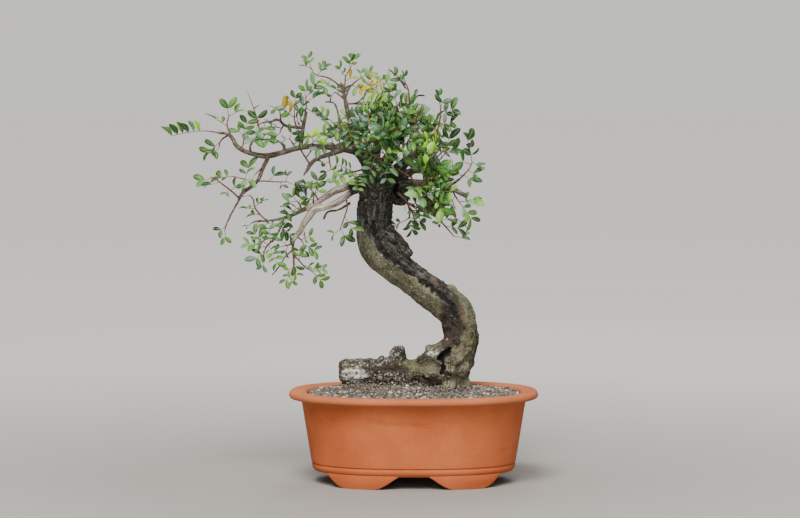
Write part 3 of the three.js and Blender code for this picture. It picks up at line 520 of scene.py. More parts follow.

# %% [markdown]
# Fired red clay is matte and never one even colour. Broad soft clouds run from orange to a browner red, fine
# grog shows as pale and dark specks, and the lip is a little greyer and darker, partly in its own tone and
# partly as painted shade that tones down the strong light on its top. The feet and the belt are darker, as
# painted shade for less light from below. The bump is very low, so that the wall still looks smooth from a
# step away.

# %% Terracotta
clay = Finish("terracotta_clay", 0.86, 0.18)
clouds = clay.noise(13, 3, 0.5)
clay.colour = clay.ramp(clouds, (0.30, (164, 80, 42)), (0.50, (182, 94, 52)), (0.70, (196, 108, 64)))
streaks = clay.noise(20, 4, 0.6, clay.stretched((0.5, 0.5, 2.2)))
clay.coat(clay.mask(streaks, 0.57, 0.78), (168, 72, 36))
pale_grog = clay.noise(1500, 2, 0.6)
clay.coat(clay.mask(pale_grog, 0.62, 0.74), (226, 156, 112))
dark_grog = clay.noise(900, 2, 0.5)
clay.coat(clay.mask(dark_grog, 0.66, 0.76), (120, 56, 32))
height = clay.part(clay.place, "Z")
# Partly painted shade: the lip is mixed toward a greyer, darker brown, in part its own tone and in part to
# tone down the strong light from above.
grey_and_shaded_lip = clay.mask(height, 0.09, 0.097)
clay.coat(grey_and_shaded_lip, (158, 104, 76), 0.4)
# Painted shade: the feet and the belt, below 32 mm, are darkened in place of less light from the floor below.
low_on_wall = clay.mask(height, 0.032, 0.0)
clay.coat(low_on_wall, (140, 66, 34), 0.45)
chalk = clay.mask(clay.noise(60, 5, 0.7), 0.60, 0.80)
clay.coat(clay.times(chalk, low_on_wall), (218, 162, 122), 0.25)
clay_normal = clay.bump(clay.noise(700, 4, 0.6), 0.00015, 0.6)
clay_normal = clay.bump(clay.noise(45, 2, 0.5), 0.0006, 0.35, clay_normal)
finish_piece(pot, "terracotta", clay.done(clay_normal), "pot")

# %% [markdown]
# ## Soil and gravel
#
# The real pot is filled with an open mix of crushed stone: pale grey pumice, lilac and tan grit, dark lava
# and a little orange baked clay, in grains of 2 to 5 mm. A bump map would look flat at the edge of the mound,
# so the grains are real stones. First comes a bed that fills the pot and carries them. It is extruded like
# the pot, and its top rings shrink to a point. Its height then follows a low mound with small clods.

# %% Sizes of the soil
SOIL_LEVEL = POT_HEIGHT - 4.5
MOUND_HEIGHT = 9
MOUND_MIDDLE = (2, 16)
MOUND_REACH = (74, 44)
BANK_HEIGHT = 7
BANK_MIDDLE = (-66, 10)
BANK_REACH = (26, 22)
CLOD_HEIGHT = 1.1
SOIL_INSET = 21
BED_SIDES = 96
BED_STEPS = 26


def heap(x, y, rise, middle, reach):
    """A round heap of soil, from its middle and how far it reaches along X and Y."""
    away = math.hypot((x - middle[0]) / reach[0], (y - middle[1]) / reach[1])
    return rise * math.exp(-away * away)


def soil_height(x, y):
    """Height of the bed's top: a low mound, a bank against the lying trunk, and clods."""
    mound = heap(x, y, MOUND_HEIGHT, MOUND_MIDDLE, MOUND_REACH)
    bank = heap(x, y, BANK_HEIGHT, BANK_MIDDLE, BANK_REACH)
    clods = math.sin(x / 6.1 + 2 * math.sin(y / 7.3)) * math.cos(y / 5.2 - 2 * math.sin(x / 9.7))
    return SOIL_LEVEL + mound + bank + CLOD_HEIGHT * clods


# %% Bed of soil
BED_RINGS = [
    (wall_inset(FLOOR_TOP) + WALL_THICKNESS - 0.4, FLOOR_TOP - 0.2),
    inner_ring(45, -0.6),
    (SOIL_INSET - 0.6, LIP_BOTTOM - 6),
    (SOIL_INSET - 0.6, SOIL_LEVEL - 0.5),
]
bed = extrude_rings("soil_bed", BED_RINGS, BED_SIDES)
bpy.ops.object.mode_set(mode="EDIT")
bpy.ops.mesh.select_mode(type="FACE")
bpy.ops.mesh.select_all(action="DESELECT")
bpy.ops.object.mode_set(mode="OBJECT")
lid = max(bed.data.polygons, key=lambda face: face.center.z)
lid.select = True
bpy.ops.object.mode_set(mode="EDIT")
for step in range(BED_STEPS, 1, -1):
    shrink = (step - 1) / step
    bpy.ops.mesh.inset(thickness=0)
    bpy.ops.transform.resize(value=(shrink, shrink, 1), center_override=at(0, 0, SOIL_LEVEL))
bpy.ops.mesh.poke()
bpy.ops.object.mode_set(mode="OBJECT")
for vertex in bed.data.vertices:
    x, y, z = to_mm(vertex.co)
    if z > SOIL_LEVEL - 1:
        vertex.co.z = soil_height(x, y) * MM
tidy_shell(bed)
smooth(bed)

earth = Finish("damp_earth", 0.95, 0.2)
crumbs = earth.noise(420, 5, 0.65)
earth.colour = earth.ramp(crumbs, (0.3, (52, 46, 40)), (0.6, (92, 82, 72)), (0.8, (128, 118, 104)))
finish_piece(bed, "soil", earth.done(earth.bump(crumbs, 0.0012, 0.9)), "soil")

# %% [markdown]
# A few stones are modelled and then copied thousands of times. Each starts as an icosphere of 20 faces, is
# squashed and has its corners pushed about, so that it looks crushed. Every copy gets its own turn, size and
# colour. Copies are written straight into one mesh, because joining thousands of objects is slow.

# %% Copies of one pattern in one mesh


def mesh_arrays(piece):
    """Vertices and faces of a mesh, as arrays."""
    points = np.empty(len(piece.data.vertices) * 3)
    piece.data.vertices.foreach_get("co", points)
    faces = np.array([list(face.vertices) for face in piece.data.polygons])
    return points.reshape(-1, 3), faces


def store(mesh, label, numbers):
    """Stores one number for each vertex under a name, for a material to read."""
    layer = mesh.attributes.new(label, "FLOAT", "POINT")
    layer.data.foreach_set("value", numbers)


def copy_many(name, shapes, faces, places, values):
    """One mesh of many copies.

    A place is (number of the shape, 3x3 array, middle in metres), and values holds a list of one number for
    each copy, by the name of the attribute that stores it.
    """
    count = len(shapes[0])
    points = np.concatenate([shapes[number] @ turn.T + middle for number, turn, middle in places])
    steps = np.arange(len(places)) * count
    all_faces = (faces[None, :, :] + steps[:, None, None]).reshape(-1, faces.shape[1])
    mesh = bpy.data.meshes.new(name)
    mesh.from_pydata(points.tolist(), [], all_faces.tolist())
    for label, numbers in values.items():
        store(mesh, label, np.repeat(np.array(numbers, dtype=np.float32), count))
    piece = bpy.data.objects.new(name, mesh)
    bpy.context.collection.objects.link(piece)
    mesh.update()
    return piece


def turn_array(bend_x, bend_y, spin):
    """A 3x3 array that turns a shape about X, then Y, then Z."""
    return np.array(Euler((bend_x, bend_y, spin)).to_matrix())


# %% Stones
STONE_SHAPES = 7
dice = random.Random(41)
stones = []
for number in range(STONE_SHAPES):
    bpy.ops.mesh.primitive_ico_sphere_add(subdivisions=1, radius=0.5 * MM, location=(0, 0, 0))
    stone = bpy.context.object
    squash = (dice.uniform(0.85, 1.25), dice.uniform(0.75, 1.05), dice.uniform(0.55, 0.9))
    bpy.ops.object.mode_set(mode="EDIT")
    bpy.ops.mesh.select_all(action="SELECT")
    bpy.ops.transform.resize(value=squash, center_override=(0, 0, 0))
    bpy.ops.object.mode_set(mode="OBJECT")
    for vertex in stone.data.vertices:
        vertex.co *= dice.uniform(0.72, 1.2)
    stone_points, stone_faces = mesh_arrays(stone)
    stones.append(stone_points)
    bpy.data.objects.remove(stone)
print("stone shapes:", len(stones), "with", len(stone_faces), "faces each")

# %% Places of the stones
TRIES_PER_PLACE = 34
STONE_NEAR_WALL = 0.35
STONE_TILT = 0.5
WOOD_SEARCH = 20
HEAP_REACH = 7
HEAP_RISE = 0.45
wood_tree = BVHTree.FromObject(frame["nodes"]["tree_wood"], bpy.context.evaluated_depsgraph_get())


def scatter_stones(name, spacing, sizes, sink, seed):
    """Stones on the bed, no nearer to each other than a spacing that follows their size."""
    dice = random.Random(seed)
    taken = {}
    places = []
    tones = []
    reach_x = POT_WIDTH / 2 - SOIL_INSET
    reach_y = POT_DEPTH / 2 - SOIL_INSET
    for _ in range(int(TRIES_PER_PLACE * reach_x * reach_y / spacing**2)):
        x = dice.uniform(-reach_x, reach_x)
        y = dice.uniform(-reach_y, reach_y)
        size = dice.uniform(*sizes)
        room_x = reach_x - size * STONE_NEAR_WALL
        room_y = reach_y - size * STONE_NEAR_WALL
        if (abs(x) / room_x) ** OVAL_POWER + (abs(y) / room_y) ** OVAL_POWER > 1:
            continue
        column, row = int(x // spacing), int(y // spacing)
        near = [
            other
            for i in (-1, 0, 1)
            for j in (-1, 0, 1)
            for other in taken.get((column + i, row + j), ())
            if math.hypot(x - other[0], y - other[1]) < spacing * 0.5 * (size + other[2]) / sizes[1] + 0.2
        ]
        if near:
            continue
        taken.setdefault((column, row), []).append((x, y, size))
        z = soil_height(x, y) + size * sink
        spot, normal, _, distance = wood_tree.find_nearest(at(x, y, z), WOOD_SEARCH * MM)
        if spot is not None:
            if (at(x, y, z) - spot).dot(normal) < 0:
                continue
            z += max(0, HEAP_REACH - distance / MM) * HEAP_RISE
        tilt = [dice.uniform(-STONE_TILT, STONE_TILT) for _ in range(2)]
        turn = turn_array(*tilt, dice.uniform(0, math.tau)) * size
        places.append((dice.randrange(STONE_SHAPES), turn, np.array(at(x, y, z))))
        tones.append(dice.random())
    print(name, "has", len(places), "stones")
    return copy_many(name, stones, stone_faces, places, {"tone": tones})


coarse_gravel = scatter_stones("coarse_gravel", 4.1, (2.6, 4.6), 0.18, 7)
fine_gravel = scatter_stones("fine_gravel", 2.5, (1.7, 2.8), 0.10, 8)

# %% [markdown]
# One number on each stone picks its kind from a stepped ramp, in about the shares seen in the pot: over
# half of them grey, then lilac and tan, with a few creams, dark ones and orange ones. Fine noise mottles
# each stone.

# %% Gravel finish
grit = Finish("crushed_stone", 0.9, 0.25)
grit.colour = grit.ramp(
    grit.attribute("tone"),
    (0.0, (64, 60, 55)),
    (0.15, (96, 91, 84)),
    (0.30, (114, 107, 100)),
    (0.43, (88, 79, 86)),
    (0.53, (118, 101, 82)),
    (0.64, (140, 131, 120)),
    (0.74, (106, 96, 86)),
    (0.83, (58, 54, 52)),
    (0.91, (204, 195, 178)),
    (0.98, (152, 110, 84)),
    interpolation="CONSTANT",
)
mottle = grit.noise(900, 4, 0.65)
grit.coat(grit.mask(mottle, 0.45, 0.75), (214, 205, 192), 0.4)
grit.coat(grit.mask(mottle, 0.5, 0.25), (52, 47, 43), 0.55)
crushed_stone = grit.done(grit.bump(grit.noise(1600, 3, 0.6), 0.0003, 0.8))
finish_piece(coarse_gravel, "soil", crushed_stone)
finish_piece(fine_gravel, "soil", crushed_stone)

# %% [markdown]
# ## Old wood
#
# A mastic thickens slowly, and its old trunk is all lobes, hollows and dead strips. Limbs are listed as
# points along their middle line with a radius at each. Curves with a round bevel turn the lists into tapering
# tubes. Lumps swell the base, and everything thicker than about 5 mm is fused by a voxel remesh, which leaves
# one closed skin with soft forks, as bark has. Separate tubes would show a hard seam at each fork.

# %% Middle lines of the wood, as points of (x, y, z, radius)
WOOD = {
    "trunk": [(43, 14, 87, 17), (45, 14, 105, 16), (48, 14, 122, 16.5), (52, 14, 138, 18),
        (53, 14, 156, 20.5), (51, 14, 176, 20.3), (47, 13, 189, 20.5), (37, 12, 198, 20.3),
        (21, 12, 210, 19), (6, 12, 221, 17.8), (-6, 12, 230, 17.3), (-18, 12, 239, 18.2),
        (-31, 12, 252, 21.5), (-41, 12, 264, 22), (-45, 12, 275, 19.5), (-45, 12, 289, 19.3),
        (-44, 12, 303, 20.5), (-42, 12, 318, 19.5), (-41, 12, 338, 17), (-50, 12, 361, 10.5),
        (-57, 12, 371, 8.5)],
    "log": [(-84, 18, 122, 12.6), (-76, 18, 122, 14.3), (-49, 18, 122, 14.8), (-27, 18, 121, 15),
        (-4, 17, 120, 15.3), (16, 15, 122, 17.5), (31, 14, 125, 19), (45, 14, 120, 17)],
    "lobe": [(53, 10, 155, 13), (37, 6, 148, 12), (23, 8, 139, 12.3), (12, 12, 129, 12.5)],
    "knob": [(-19, 17, 121, 13), (-20, 17, 132, 12), (-18, 16, 141, 9.2), (-17, 16, 148, 7.8),
        (-17, 16, 151, 5)],
    "shoulder": [(-40, 18, 125, 10), (-35, 18, 133, 7.5), (-31, 18, 137, 5)],
    "stub": [(28, 8, 133, 11), (20, 7, 142, 6.8), (17, 6, 149, 4.9), (16, 6, 153, 3.6)],
    "root_right": [(49, 12, 121, 11), (56, 9, 108, 8.5), (61, 6, 93, 5)],
    "root_front": [(41, 6, 118, 11.5), (39, -4, 105, 9), (36, -14, 94, 5)],
    "root_back": [(47, 22, 120, 11.5), (52, 33, 106, 9), (57, 44, 88, 5)],
    "arched": [(-51, 12, 361, 7), (-67, 8, 371, 4.8), (-83, 4, 374, 3.7), (-105, 0, 376, 3.3),
        (-127, -4, 375, 3.2), (-146, -7, 370, 3.3), (-165, -10, 366, 3.4), (-178, -12, 368, 3),
        (-190, -14, 372, 2.7), (-198, -15, 378, 2.5), (-202, -16, 386, 2.2), (-207, -17, 390, 1.8),
        (-217, -18, 392, 1.4)],
    "hoop": [(-145, -7, 369, 1.9), (-145, -8, 377, 1.8), (-153, -9, 383, 1.1), (-167, -10, 384, 1),
        (-179, -11, 382, 1.1), (-182, -12, 377, 1.3), (-182, -12, 369, 1.5)],
    "knee": [(-77, 5, 374, 4.2), (-89, 0, 369, 3), (-99, -3, 366, 2.5), (-109, -5, 362, 2.3),
        (-115, -7, 357, 2.5), (-119, -8, 350, 2), (-123, -9, 344, 0.8)],
    "knee_fork": [(-116, -7, 357, 1.3), (-121, -6, 364, 1), (-127, -4, 374, 1)],
    "knee_prong": [(-121, -6, 363, 0.9), (-117, -5, 368, 0.8), (-113, -3, 375, 0.8)],
    "drop": [(-163, -10, 367, 3.6), (-164, -11, 361, 2.5), (-167, -13, 355, 2.2), (-170, -15, 347, 2.1),
        (-173, -17, 340, 2), (-177, -18, 335, 2), (-182, -20, 331, 2.2), (-188, -21, 327, 2.3),
        (-192, -22, 323, 1.8), (-195, -23, 316, 1.3), (-199, -24, 309, 1.2), (-205, -25, 298, 1)],
    "front_fork": [(-51, 6, 321, 8), (-60, -4, 328, 5), (-68, -7, 326, 3.8), (-79, -9, 318, 3.7),
        (-89, -11, 312, 3.8), (-100, -12, 309, 4), (-111, -12, 306, 4.6), (-117, -12, 298, 4.1),
        (-123, -13, 290, 3.7), (-127, -14, 282, 3.4), (-132, -14, 276, 3), (-135, -14, 270, 2.2)],
    "back_fork": [(-47, 14, 340, 8), (-64, 16, 337, 4.8), (-76, 17, 330, 4.2), (-88, 14, 326, 4.2),
        (-98, 8, 320, 3.7), (-106, 0, 315, 3.3), (-114, -6, 310, 3.3), (-127, -11, 304, 2.4),
        (-138, -13, 299, 2), (-149, -14, 296, 1.6), (-161, -15, 294, 1.2), (-174, -16, 293, 1)],
    "under_twig": [(-71, 0, 313, 1.6), (-85, -2, 305, 1.1), (-96, -3, 303, 1.2), (-101, -4, 295, 1.3)],
    "leader": [(-54, 12, 361, 7), (-61, 12, 374, 4.2), (-66, 12, 387, 3.6), (-70, 12, 400, 3.2),
        (-73, 12, 410, 3), (-75, 12, 419, 2.6), (-77, 12, 429, 2.1), (-79, 12, 439, 1.7),
        (-80, 12, 446, 1.4)],
    "bow": [(-69, 6, 377, 2), (-80, 4, 387, 1.1), (-83, 4, 397, 1.1), (-84, 5, 408, 1), (-86, 7, 418, 1),
        (-90, 9, 425, 1), (-99, 10, 426, 0.9)],
    "cross_twig": [(-77, 12, 424, 1.2), (-66, 9, 424, 1), (-50, 4, 423, 0.9)],
    "second_leader": [(-47, 14, 354, 9), (-42, 18, 372, 5.5), (-39, 20, 389, 4.2), (-39, 20, 406, 3),
        (-40, 18, 419, 2)],
    "centre_back": [(-40, 18, 347, 9), (-24, 34, 369, 6), (-18, 46, 388, 4.2), (-20, 54, 405, 2.6)],
    "left_back": [(-45, 18, 343, 8), (-58, 36, 362, 5.2), (-72, 50, 380, 3.6), (-80, 58, 394, 2.2)],
    "right_back": [(-33, 20, 331, 9), (-13, 40, 342, 5.5), (5, 54, 351, 3.8), (19, 62, 360, 2.2)],
    "centre_front": [(-42, 6, 339, 9), (-33, -12, 355, 5.5), (-24, -26, 371, 4), (-20, -34, 384, 2.2)],
    "right_leader": [(-36, 12, 336, 11), (-18, 12, 350, 7), (-6, 11, 363, 5.2), (2, 10, 377, 3.8),
        (3, 9, 389, 2.6), (-2, 8, 400, 2), (-9, 8, 409, 2), (-5, 8, 419, 1.7)],
    "right_node": [(-20, 4, 411, 2), (-12, 7, 414, 2.3), (-1, 10, 412, 1.9)],
    "right_arm": [(-33, 8, 325, 10), (-15, 2, 334, 6.5), (3, -3, 335, 5), (20, -6, 334, 4),
        (34, -7, 332, 3.3), (45, -7, 328, 2.9), (55, -8, 323, 2.8), (60, -8, 321, 2.7)],
    "right_spire_stem": [(12, -4, 334, 3.2), (17, -8, 346, 2.6), (21, -9, 361, 2.2), (22, -9, 372, 1.8),
        (21, -9, 380, 1.5), (24, -9, 388, 1.4), (27, -9, 394, 1.2)],
    "right_tip_stem": [(36, -7, 332, 2), (44, -8, 335, 1.6), (51, -9, 340, 1.3)],
    "right_low_stem": [(7, -4, 332, 3), (14, -12, 319, 2.2), (19, -16, 307, 1.6), (27, -18, 297, 1.2)],
    "inner_low_stem": [(-18, 4, 325, 2.2), (-7, -2, 313, 1.4), (-4, -4, 301, 0.9)],
    "cluster_stem": [(-145, -14, 296, 1.5), (-148, -15, 288, 1.3), (-152, -16, 279, 1.2),
        (-158, -17, 270, 1.1)],
    "hanging_stem": [(-134, -14, 273, 2), (-135, -14, 263, 1.4), (-134, -14, 253, 1.2),
        (-134, -14, 246, 1.1)],
    "hanging_bare": [(-135, -14, 261, 1.2), (-143, -16, 254, 0.9), (-148, -17, 246, 0.9),
        (-153, -18, 239, 0.8), (-158, -18, 233, 0.7)],
    "upper_left_stem": [(-127, -4, 375, 2.4), (-125, -4, 384, 2.2), (-124, -4, 395, 2.2),
        (-122, -4, 405, 2), (-120, -4, 415, 1.7)],
    "upper_left_bar": [(-124, -4, 397, 2), (-134, -6, 398, 1.8), (-144, -7, 400, 1.6),
        (-151, -8, 406, 1.5), (-160, -9, 404, 1.1)],
}

LUMPS = [
    (-15, 12, 320, 11), (-15, 12, 333, 11),
    (53, -1, 157, 9), (61, 6, 150, 8), (51, -4, 146, 9), (59, 8, 137, 8), (47, -5, 135, 9),
    (55, -1, 126, 9), (41, -6, 124, 9), (30, -4, 121, 8), (18, -1, 121, 8), (7, 2, 121, 8),
    (27, 0, 137, 6), (34, -3, 131, 7), (42, 10, 214, 7), (55, 12, 184, 13), (-50, 8, 333, 15),
    (44, 31, 153, 10), (56, 28, 141, 9), (33, 30, 136, 10), (18, 30, 127, 10), (52, 26, 173, 8),
    (37, 23, 195, 10), (13, 24, 215, 9), (-19, 24, 247, 10), (-42, 27, 266, 10), (-20, 14, 330, 13),
]
FLAKE = [(-34, 8, 277, 15), (-23, 7, 269, 12.5), (-13, 6, 262, 8.8), (-6, 5, 256.5, 5.6), (-3, 5, 253, 4)]
THINNEST_FUSED = 2.6
VOXEL_SIZE = 1.09


# %% Tubes along lists of points


def tubes(name, limbs, sides=2, steps=5):
    """Closed round tubes: each limb is a list of (x, y, z, radius)."""
    curve = bpy.data.curves.new(name, "CURVE")
    curve.dimensions = "3D"
    curve.bevel_depth = 1.0
    curve.bevel_resolution = sides
    curve.use_fill_caps = True
    curve.resolution_u = steps
    for limb in limbs:
        spline = curve.splines.new("BEZIER")
        spline.bezier_points.add(len(limb) - 1)
        for point, (x, y, z, radius) in zip(spline.bezier_points, limb):
            point.co = at(x, y, z)
            point.radius = radius * MM
            point.handle_left_type = "AUTO"
            point.handle_right_type = "AUTO"
    piece = bpy.data.objects.new(name, curve)
    bpy.context.collection.objects.link(piece)
    pick(piece)
    bpy.ops.object.convert(target="MESH")
    piece = bpy.context.object
    tidy_shell(piece, 0.00001)
    return piece


def tapering(points, thick, taper):
    """A line of points with a radius at each, from thick at the first and less by taper at the last."""
    last = len(points) - 1
    return [(*point, thick - taper * i / last) for i, point in enumerate(points)]


def join_all(name, pieces):
    """Joins pieces into one object."""
    pick(pieces[0])
    for piece in pieces[1:]:
        piece.select_set(True)
    bpy.ops.object.join()
    joined = bpy.context.object
    joined.name = name
    joined.data.name = name
    return joined


# %% Thick limbs and lumps
thick_limbs = [FLAKE]
thin_limbs = []
for limb in WOOD.values():
    count = max((i + 1 for i, point in enumerate(limb) if point[3] >= THINNEST_FUSED), default=0)
    if count >= 2:
        thick_limbs.append(limb[: count + 1])
    if count < len(limb) - 1:
        thin_limbs.append(limb[max(count - 1, 0):])

wood_parts = [tubes("limbs", thick_limbs, sides=4, steps=8)]
for x, y, z, radius in LUMPS:
    bpy.ops.mesh.primitive_ico_sphere_add(subdivisions=3, radius=radius * MM, location=at(x, y, z))
    lump = bpy.context.object
    settle(lump)
    wood_parts.append(lump)
old_wood = join_all("old_wood", wood_parts)
modify(old_wood, "REMESH", mode="VOXEL", voxel_size=VOXEL_SIZE * MM)
modify(old_wood, "SMOOTH", factor=0.5, iterations=6)
print("old wood:", triangles(old_wood), "triangles,", len(thick_limbs), "limbs and", len(LUMPS), "lumps")

# %% [markdown]
# The bark's relief follows the limbs, so each vertex first looks up its nearest point on a middle line. Noise
# is then read in a space that is squeezed along that line, and so its ridges run lengthwise like bark. The
# dead strip and the other marks are strokes seen from the front: a line of points, each with a half width.

# %% Where the marks of age lie, as strokes of (x, z, half width)
STROKES = {
    "dead": [
        [(-60, 358, 16), (-50, 335, 24), (-46, 312, 22), (-42, 294, 19), (-34, 277, 15), (-20, 258, 12),
            (7, 238, 10.5), (26, 222, 9), (38, 211, 6)],
        [(-20, 352, 14), (-14, 330, 14), (-14, 314, 12)],
        [(-34, 318, 12), (-29, 290, 10), (-14, 268, 11), (4, 250, 10), (18, 237, 9), (32, 223, 7)],
        [(34, 209, 5), (42, 197, 6), (45, 184, 4), (44, 173, 2.5)],
    ],
    "crevice": [
        [(-47, 292, 1.5), (-43, 277, 2), (-27, 253, 2.5), (-8, 238, 2.5), (11, 225, 2), (24, 215, 2.5),
            (36, 206, 3.5), (45, 196, 3), (49, 184, 2)],
    ],
    "brown": [
        [(-84, 122, 2), (-82, 134, 3), (-66, 138, 4), (-53, 139, 4), (-38, 136, 5)],
        [(-52, 130, 7), (-33, 127, 11), (-15, 122, 9)],
        [(-17, 150, 6), (-18, 137, 8)],
        [(38, 212, 6), (41, 203, 11), (44, 189, 14), (43, 174, 14), (39, 160, 10)],
    ],
    "pale": [
        [(-77, 120, 5), (-67, 122, 6.5), (-57, 119, 5)],
        [(-72, 115, 5), (-60, 113, 4)],
        [(17, 144, 2), (24, 143, 2.5), (29, 139, 2)],
    ],
    "speckle": [
        [(-78, 134, 5), (-50, 133, 5), (-30, 136, 5), (-19, 140, 7), (-17, 150, 6)],
        [(-60, 116, 6), (-35, 118, 7), (-12, 116, 6), (4, 114, 4)],
        [(12, 150, 4), (22, 146, 5), (31, 146, 5), (36, 140, 4)],
    ],
    "moss": [
        [(-15, 132, 3), (-5, 132, 4), (2, 130, 3)],
        [(0, 124, 5), (13, 123, 4)],
        [(60, 161, 4), (62, 152, 4)],
    ],
    "tan": [[(51, 147, 4), (58, 144, 3)]],
    "pink": [[(22, 229, 2.5), (25, 221, 2.5)], [(53, 190, 3.5), (57, 182, 3.5)]],
    "hollow": [
        [(40, 148, 3), (34, 142, 5), (28, 139, 3)],
        [(32, 137, 2), (33, 128, 2), (31, 122, 2)],
        [(-20, 334, 3), (-18, 320, 5)],
    ],
}
FRONT_ONLY = ("hollow", "crevice", "pale", "pink", "tan")
SILVER_LIMBS = ("front_fork", "back_fork")


def stroke_share(lines, x, z):
    """How much of a mark covers a place: 1 on a stroke, falling to 0 past its edge."""
    best = 0.0
    for line in lines:
        for (x0, z0, w0), (x1, z1, w1) in zip(line, line[1:]):
            step_x, step_z = x1 - x0, z1 - z0
            length = max(step_x**2 + step_z**2, 0.01)
            share = clamped(((x - x0) * step_x + (z - z0) * step_z) / length)
            away = math.hypot(x - x0 - share * step_x, z - z0 - share * step_z)
            half = w0 + share * (w1 - w0)
            best = max(best, 1.25 - 0.8 * away / half)
    return clamped(best * 2 - 0.5)


# %% Middle lines as a search tree
SAMPLE_SPACING = 1.5
SAMPLES_COMPARED = 12
Sample = namedtuple("Sample", "spot along aside run radius silver")
samples = []
for limb_name, limb in [("flake", FLAKE), *WOOD.items()]:
    run = 0.0
    silver = 1.0 if limb_name in SILVER_LIMBS else 0.0
    for (x0, y0, z0, r0), (x1, y1, z1, r1) in zip(limb, limb[1:]):
        start, end = Vector((x0, y0, z0)), Vector((x1, y1, z1))
        length = (end - start).length
        along = (end - start) / length
        aside = along.cross(Vector((0, 1, 0))).normalized()
        steps = max(2, int(length / SAMPLE_SPACING))
        for i in range(steps):
            share = i / steps
            spot = start.lerp(end, share)
            samples.append(Sample(spot, along, aside, run + length * share, r0 + (r1 - r0) * share, silver))
        run += length
line_tree = KDTree(len(samples))
for i, sample in enumerate(samples):
    line_tree.insert(sample.spot, i)
line_tree.balance()
print("samples on middle lines:", len(samples))


def nearest_line(point):
    """The sample whose own bark is nearest to a point."""
    found = line_tree.find_n(point, SAMPLES_COMPARED)
    return samples[min(found, key=lambda hit: hit[2] - samples[hit[1]].radius)[1]]


# %% Place each vertex on its limb: across the limb, and along it
GRAIN_SQUEEZE = 0.2
vertices = old_wood.data.vertices
normals = [vertex.normal.copy() for vertex in vertices]
spots = []
grains = np.zeros((len(vertices), 3), dtype=np.float32)
for i, vertex in enumerate(vertices):
    point = Vector(to_mm(vertex.co))
    sample = nearest_line(point)
    out = point - sample.spot
    across = (out.dot(sample.aside), out.dot(sample.along.cross(sample.aside)))
    grain = Vector((*across, sample.run * GRAIN_SQUEEZE))
    grains[i] = grain * MM
    spots.append((point, out, grain, sample))

# %% Marks of age
LOW_BARK_TOP = 205
LOW_BARK_FADE = 40
DUST_AND_LIGHT_TOP = 134
DUST_AND_LIGHT_FADE = 18
DUST_AND_LIGHT_LEFT_EDGE = 8
TOP_START = 262
TOP_FADE = 40
SILVER_START = -56
SILVER_FADE = 8
SLIM_RADIUS = 2.5
SLIM_FADE = 9
PLACE_MARKS = ("crack", "pit", "low", "dust", "top", "branch", "silver")


def how_low(point):
    """1 on the lower trunk and the log, where the bark is broken into plates, and 0 higher up."""
    return clamped((LOW_BARK_TOP - point.z) / LOW_BARK_FADE)


def how_stout(radius):
    """0 on a slim limb, 1 on a stout one."""
    return clamped((radius - SLIM_RADIUS) / SLIM_FADE)


marks = {name: np.zeros(len(vertices), dtype=np.float32) for name in (*STROKES, *PLACE_MARKS)}
for i, (point, out, _, sample) in enumerate(spots):
    wobble = (noise.noise(point / 6) * 3.2 + noise.noise(point / 2.2) * 1.8) * 0.7
    for name, lines in STROKES.items():
        if name not in FRONT_ONLY or out.y < 0:
            marks[name][i] = stroke_share(lines, point.x + wobble, point.z + wobble)
    marks["low"][i] = how_low(point)
    # Partly a dusty tone and partly painted light: low on the trunk and log, right of x = 8 mm, where the
    # base lies in shadow under the lumps.
    marks["dust"][i] = clamped((DUST_AND_LIGHT_TOP - point.z) / DUST_AND_LIGHT_FADE) * (point.x > DUST_AND_LIGHT_LEFT_EDGE)
    marks["top"][i] = clamped((point.z - TOP_START) / TOP_FADE)
    marks["branch"][i] = 1 - how_stout(sample.radius)
    marks["silver"][i] = sample.silver * clamped((SILVER_START - point.x) / SILVER_FADE)

# %% Relief of the bark, with the lengths of its waves in mm
RIDGE_WAVE = 3.4
FIBRE_WAVE = 1.9
GRIT_WAVE = 1.7
BROAD_WAVE = 12
BROAD_SHIFT = Vector((3, 1, 7))
SWELL_WAVE = 9
KNOB_WAVE = 4.2
BURL_WAVE = 7.5
PLATE_BREADTH = 6.5
PLATE_SQUEEZE = 0.6
SEAM_BREADTH = 0.18
HOLLOW_DEPTH = 5.5
CREVICE_DEPTH = 1.8


def bark_relief(point, grain, run, dead):
    """How far the bark stands out in mm, and how much of a crack or seam there is."""
    low = how_low(point)
    ridge = 1 - abs(noise.noise(grain / RIDGE_WAVE)) * 2.6
    fibre = noise.noise(grain / FIBRE_WAVE)
    gritty = noise.noise(point / GRIT_WAVE)
    broad = noise.noise(grain / BROAD_WAVE + BROAD_SHIFT)
    swell = noise.noise(point / SWELL_WAVE)
    knobbly = noise.noise(point / KNOB_WAVE)
    burls = 0.7 * knobbly + 2.0 * noise.noise(point / BURL_WAVE)
    crack = max(0.0, ridge - 0.35) / 0.65
    cracked = crack * (0.25 + 0.75 * low) * clamped(0.6 + 1.4 * broad)
    gaps = noise.voronoi(Vector((grain.x, grain.y, run * PLATE_SQUEEZE)) / PLATE_BREADTH)[0]
    seam = max(0.0, 1 - (gaps[1] - gaps[0]) / SEAM_BREADTH) * low * (1 - dead)
    seam *= clamped(0.6 + 1.6 * broad, 0.3)
    live = 0.3 * fibre + 0.35 * gritty - 0.8 * cracked + 1.4 * broad + 0.8 * swell + low * burls - 1.1 * seam
    gone = 1.2 * fibre - 1.7 * crack + 1.2 * broad + 1.0 * swell + 1.7 * knobbly
    return live + (gone - live) * dead, max(cracked + (crack - cracked) * dead, seam)


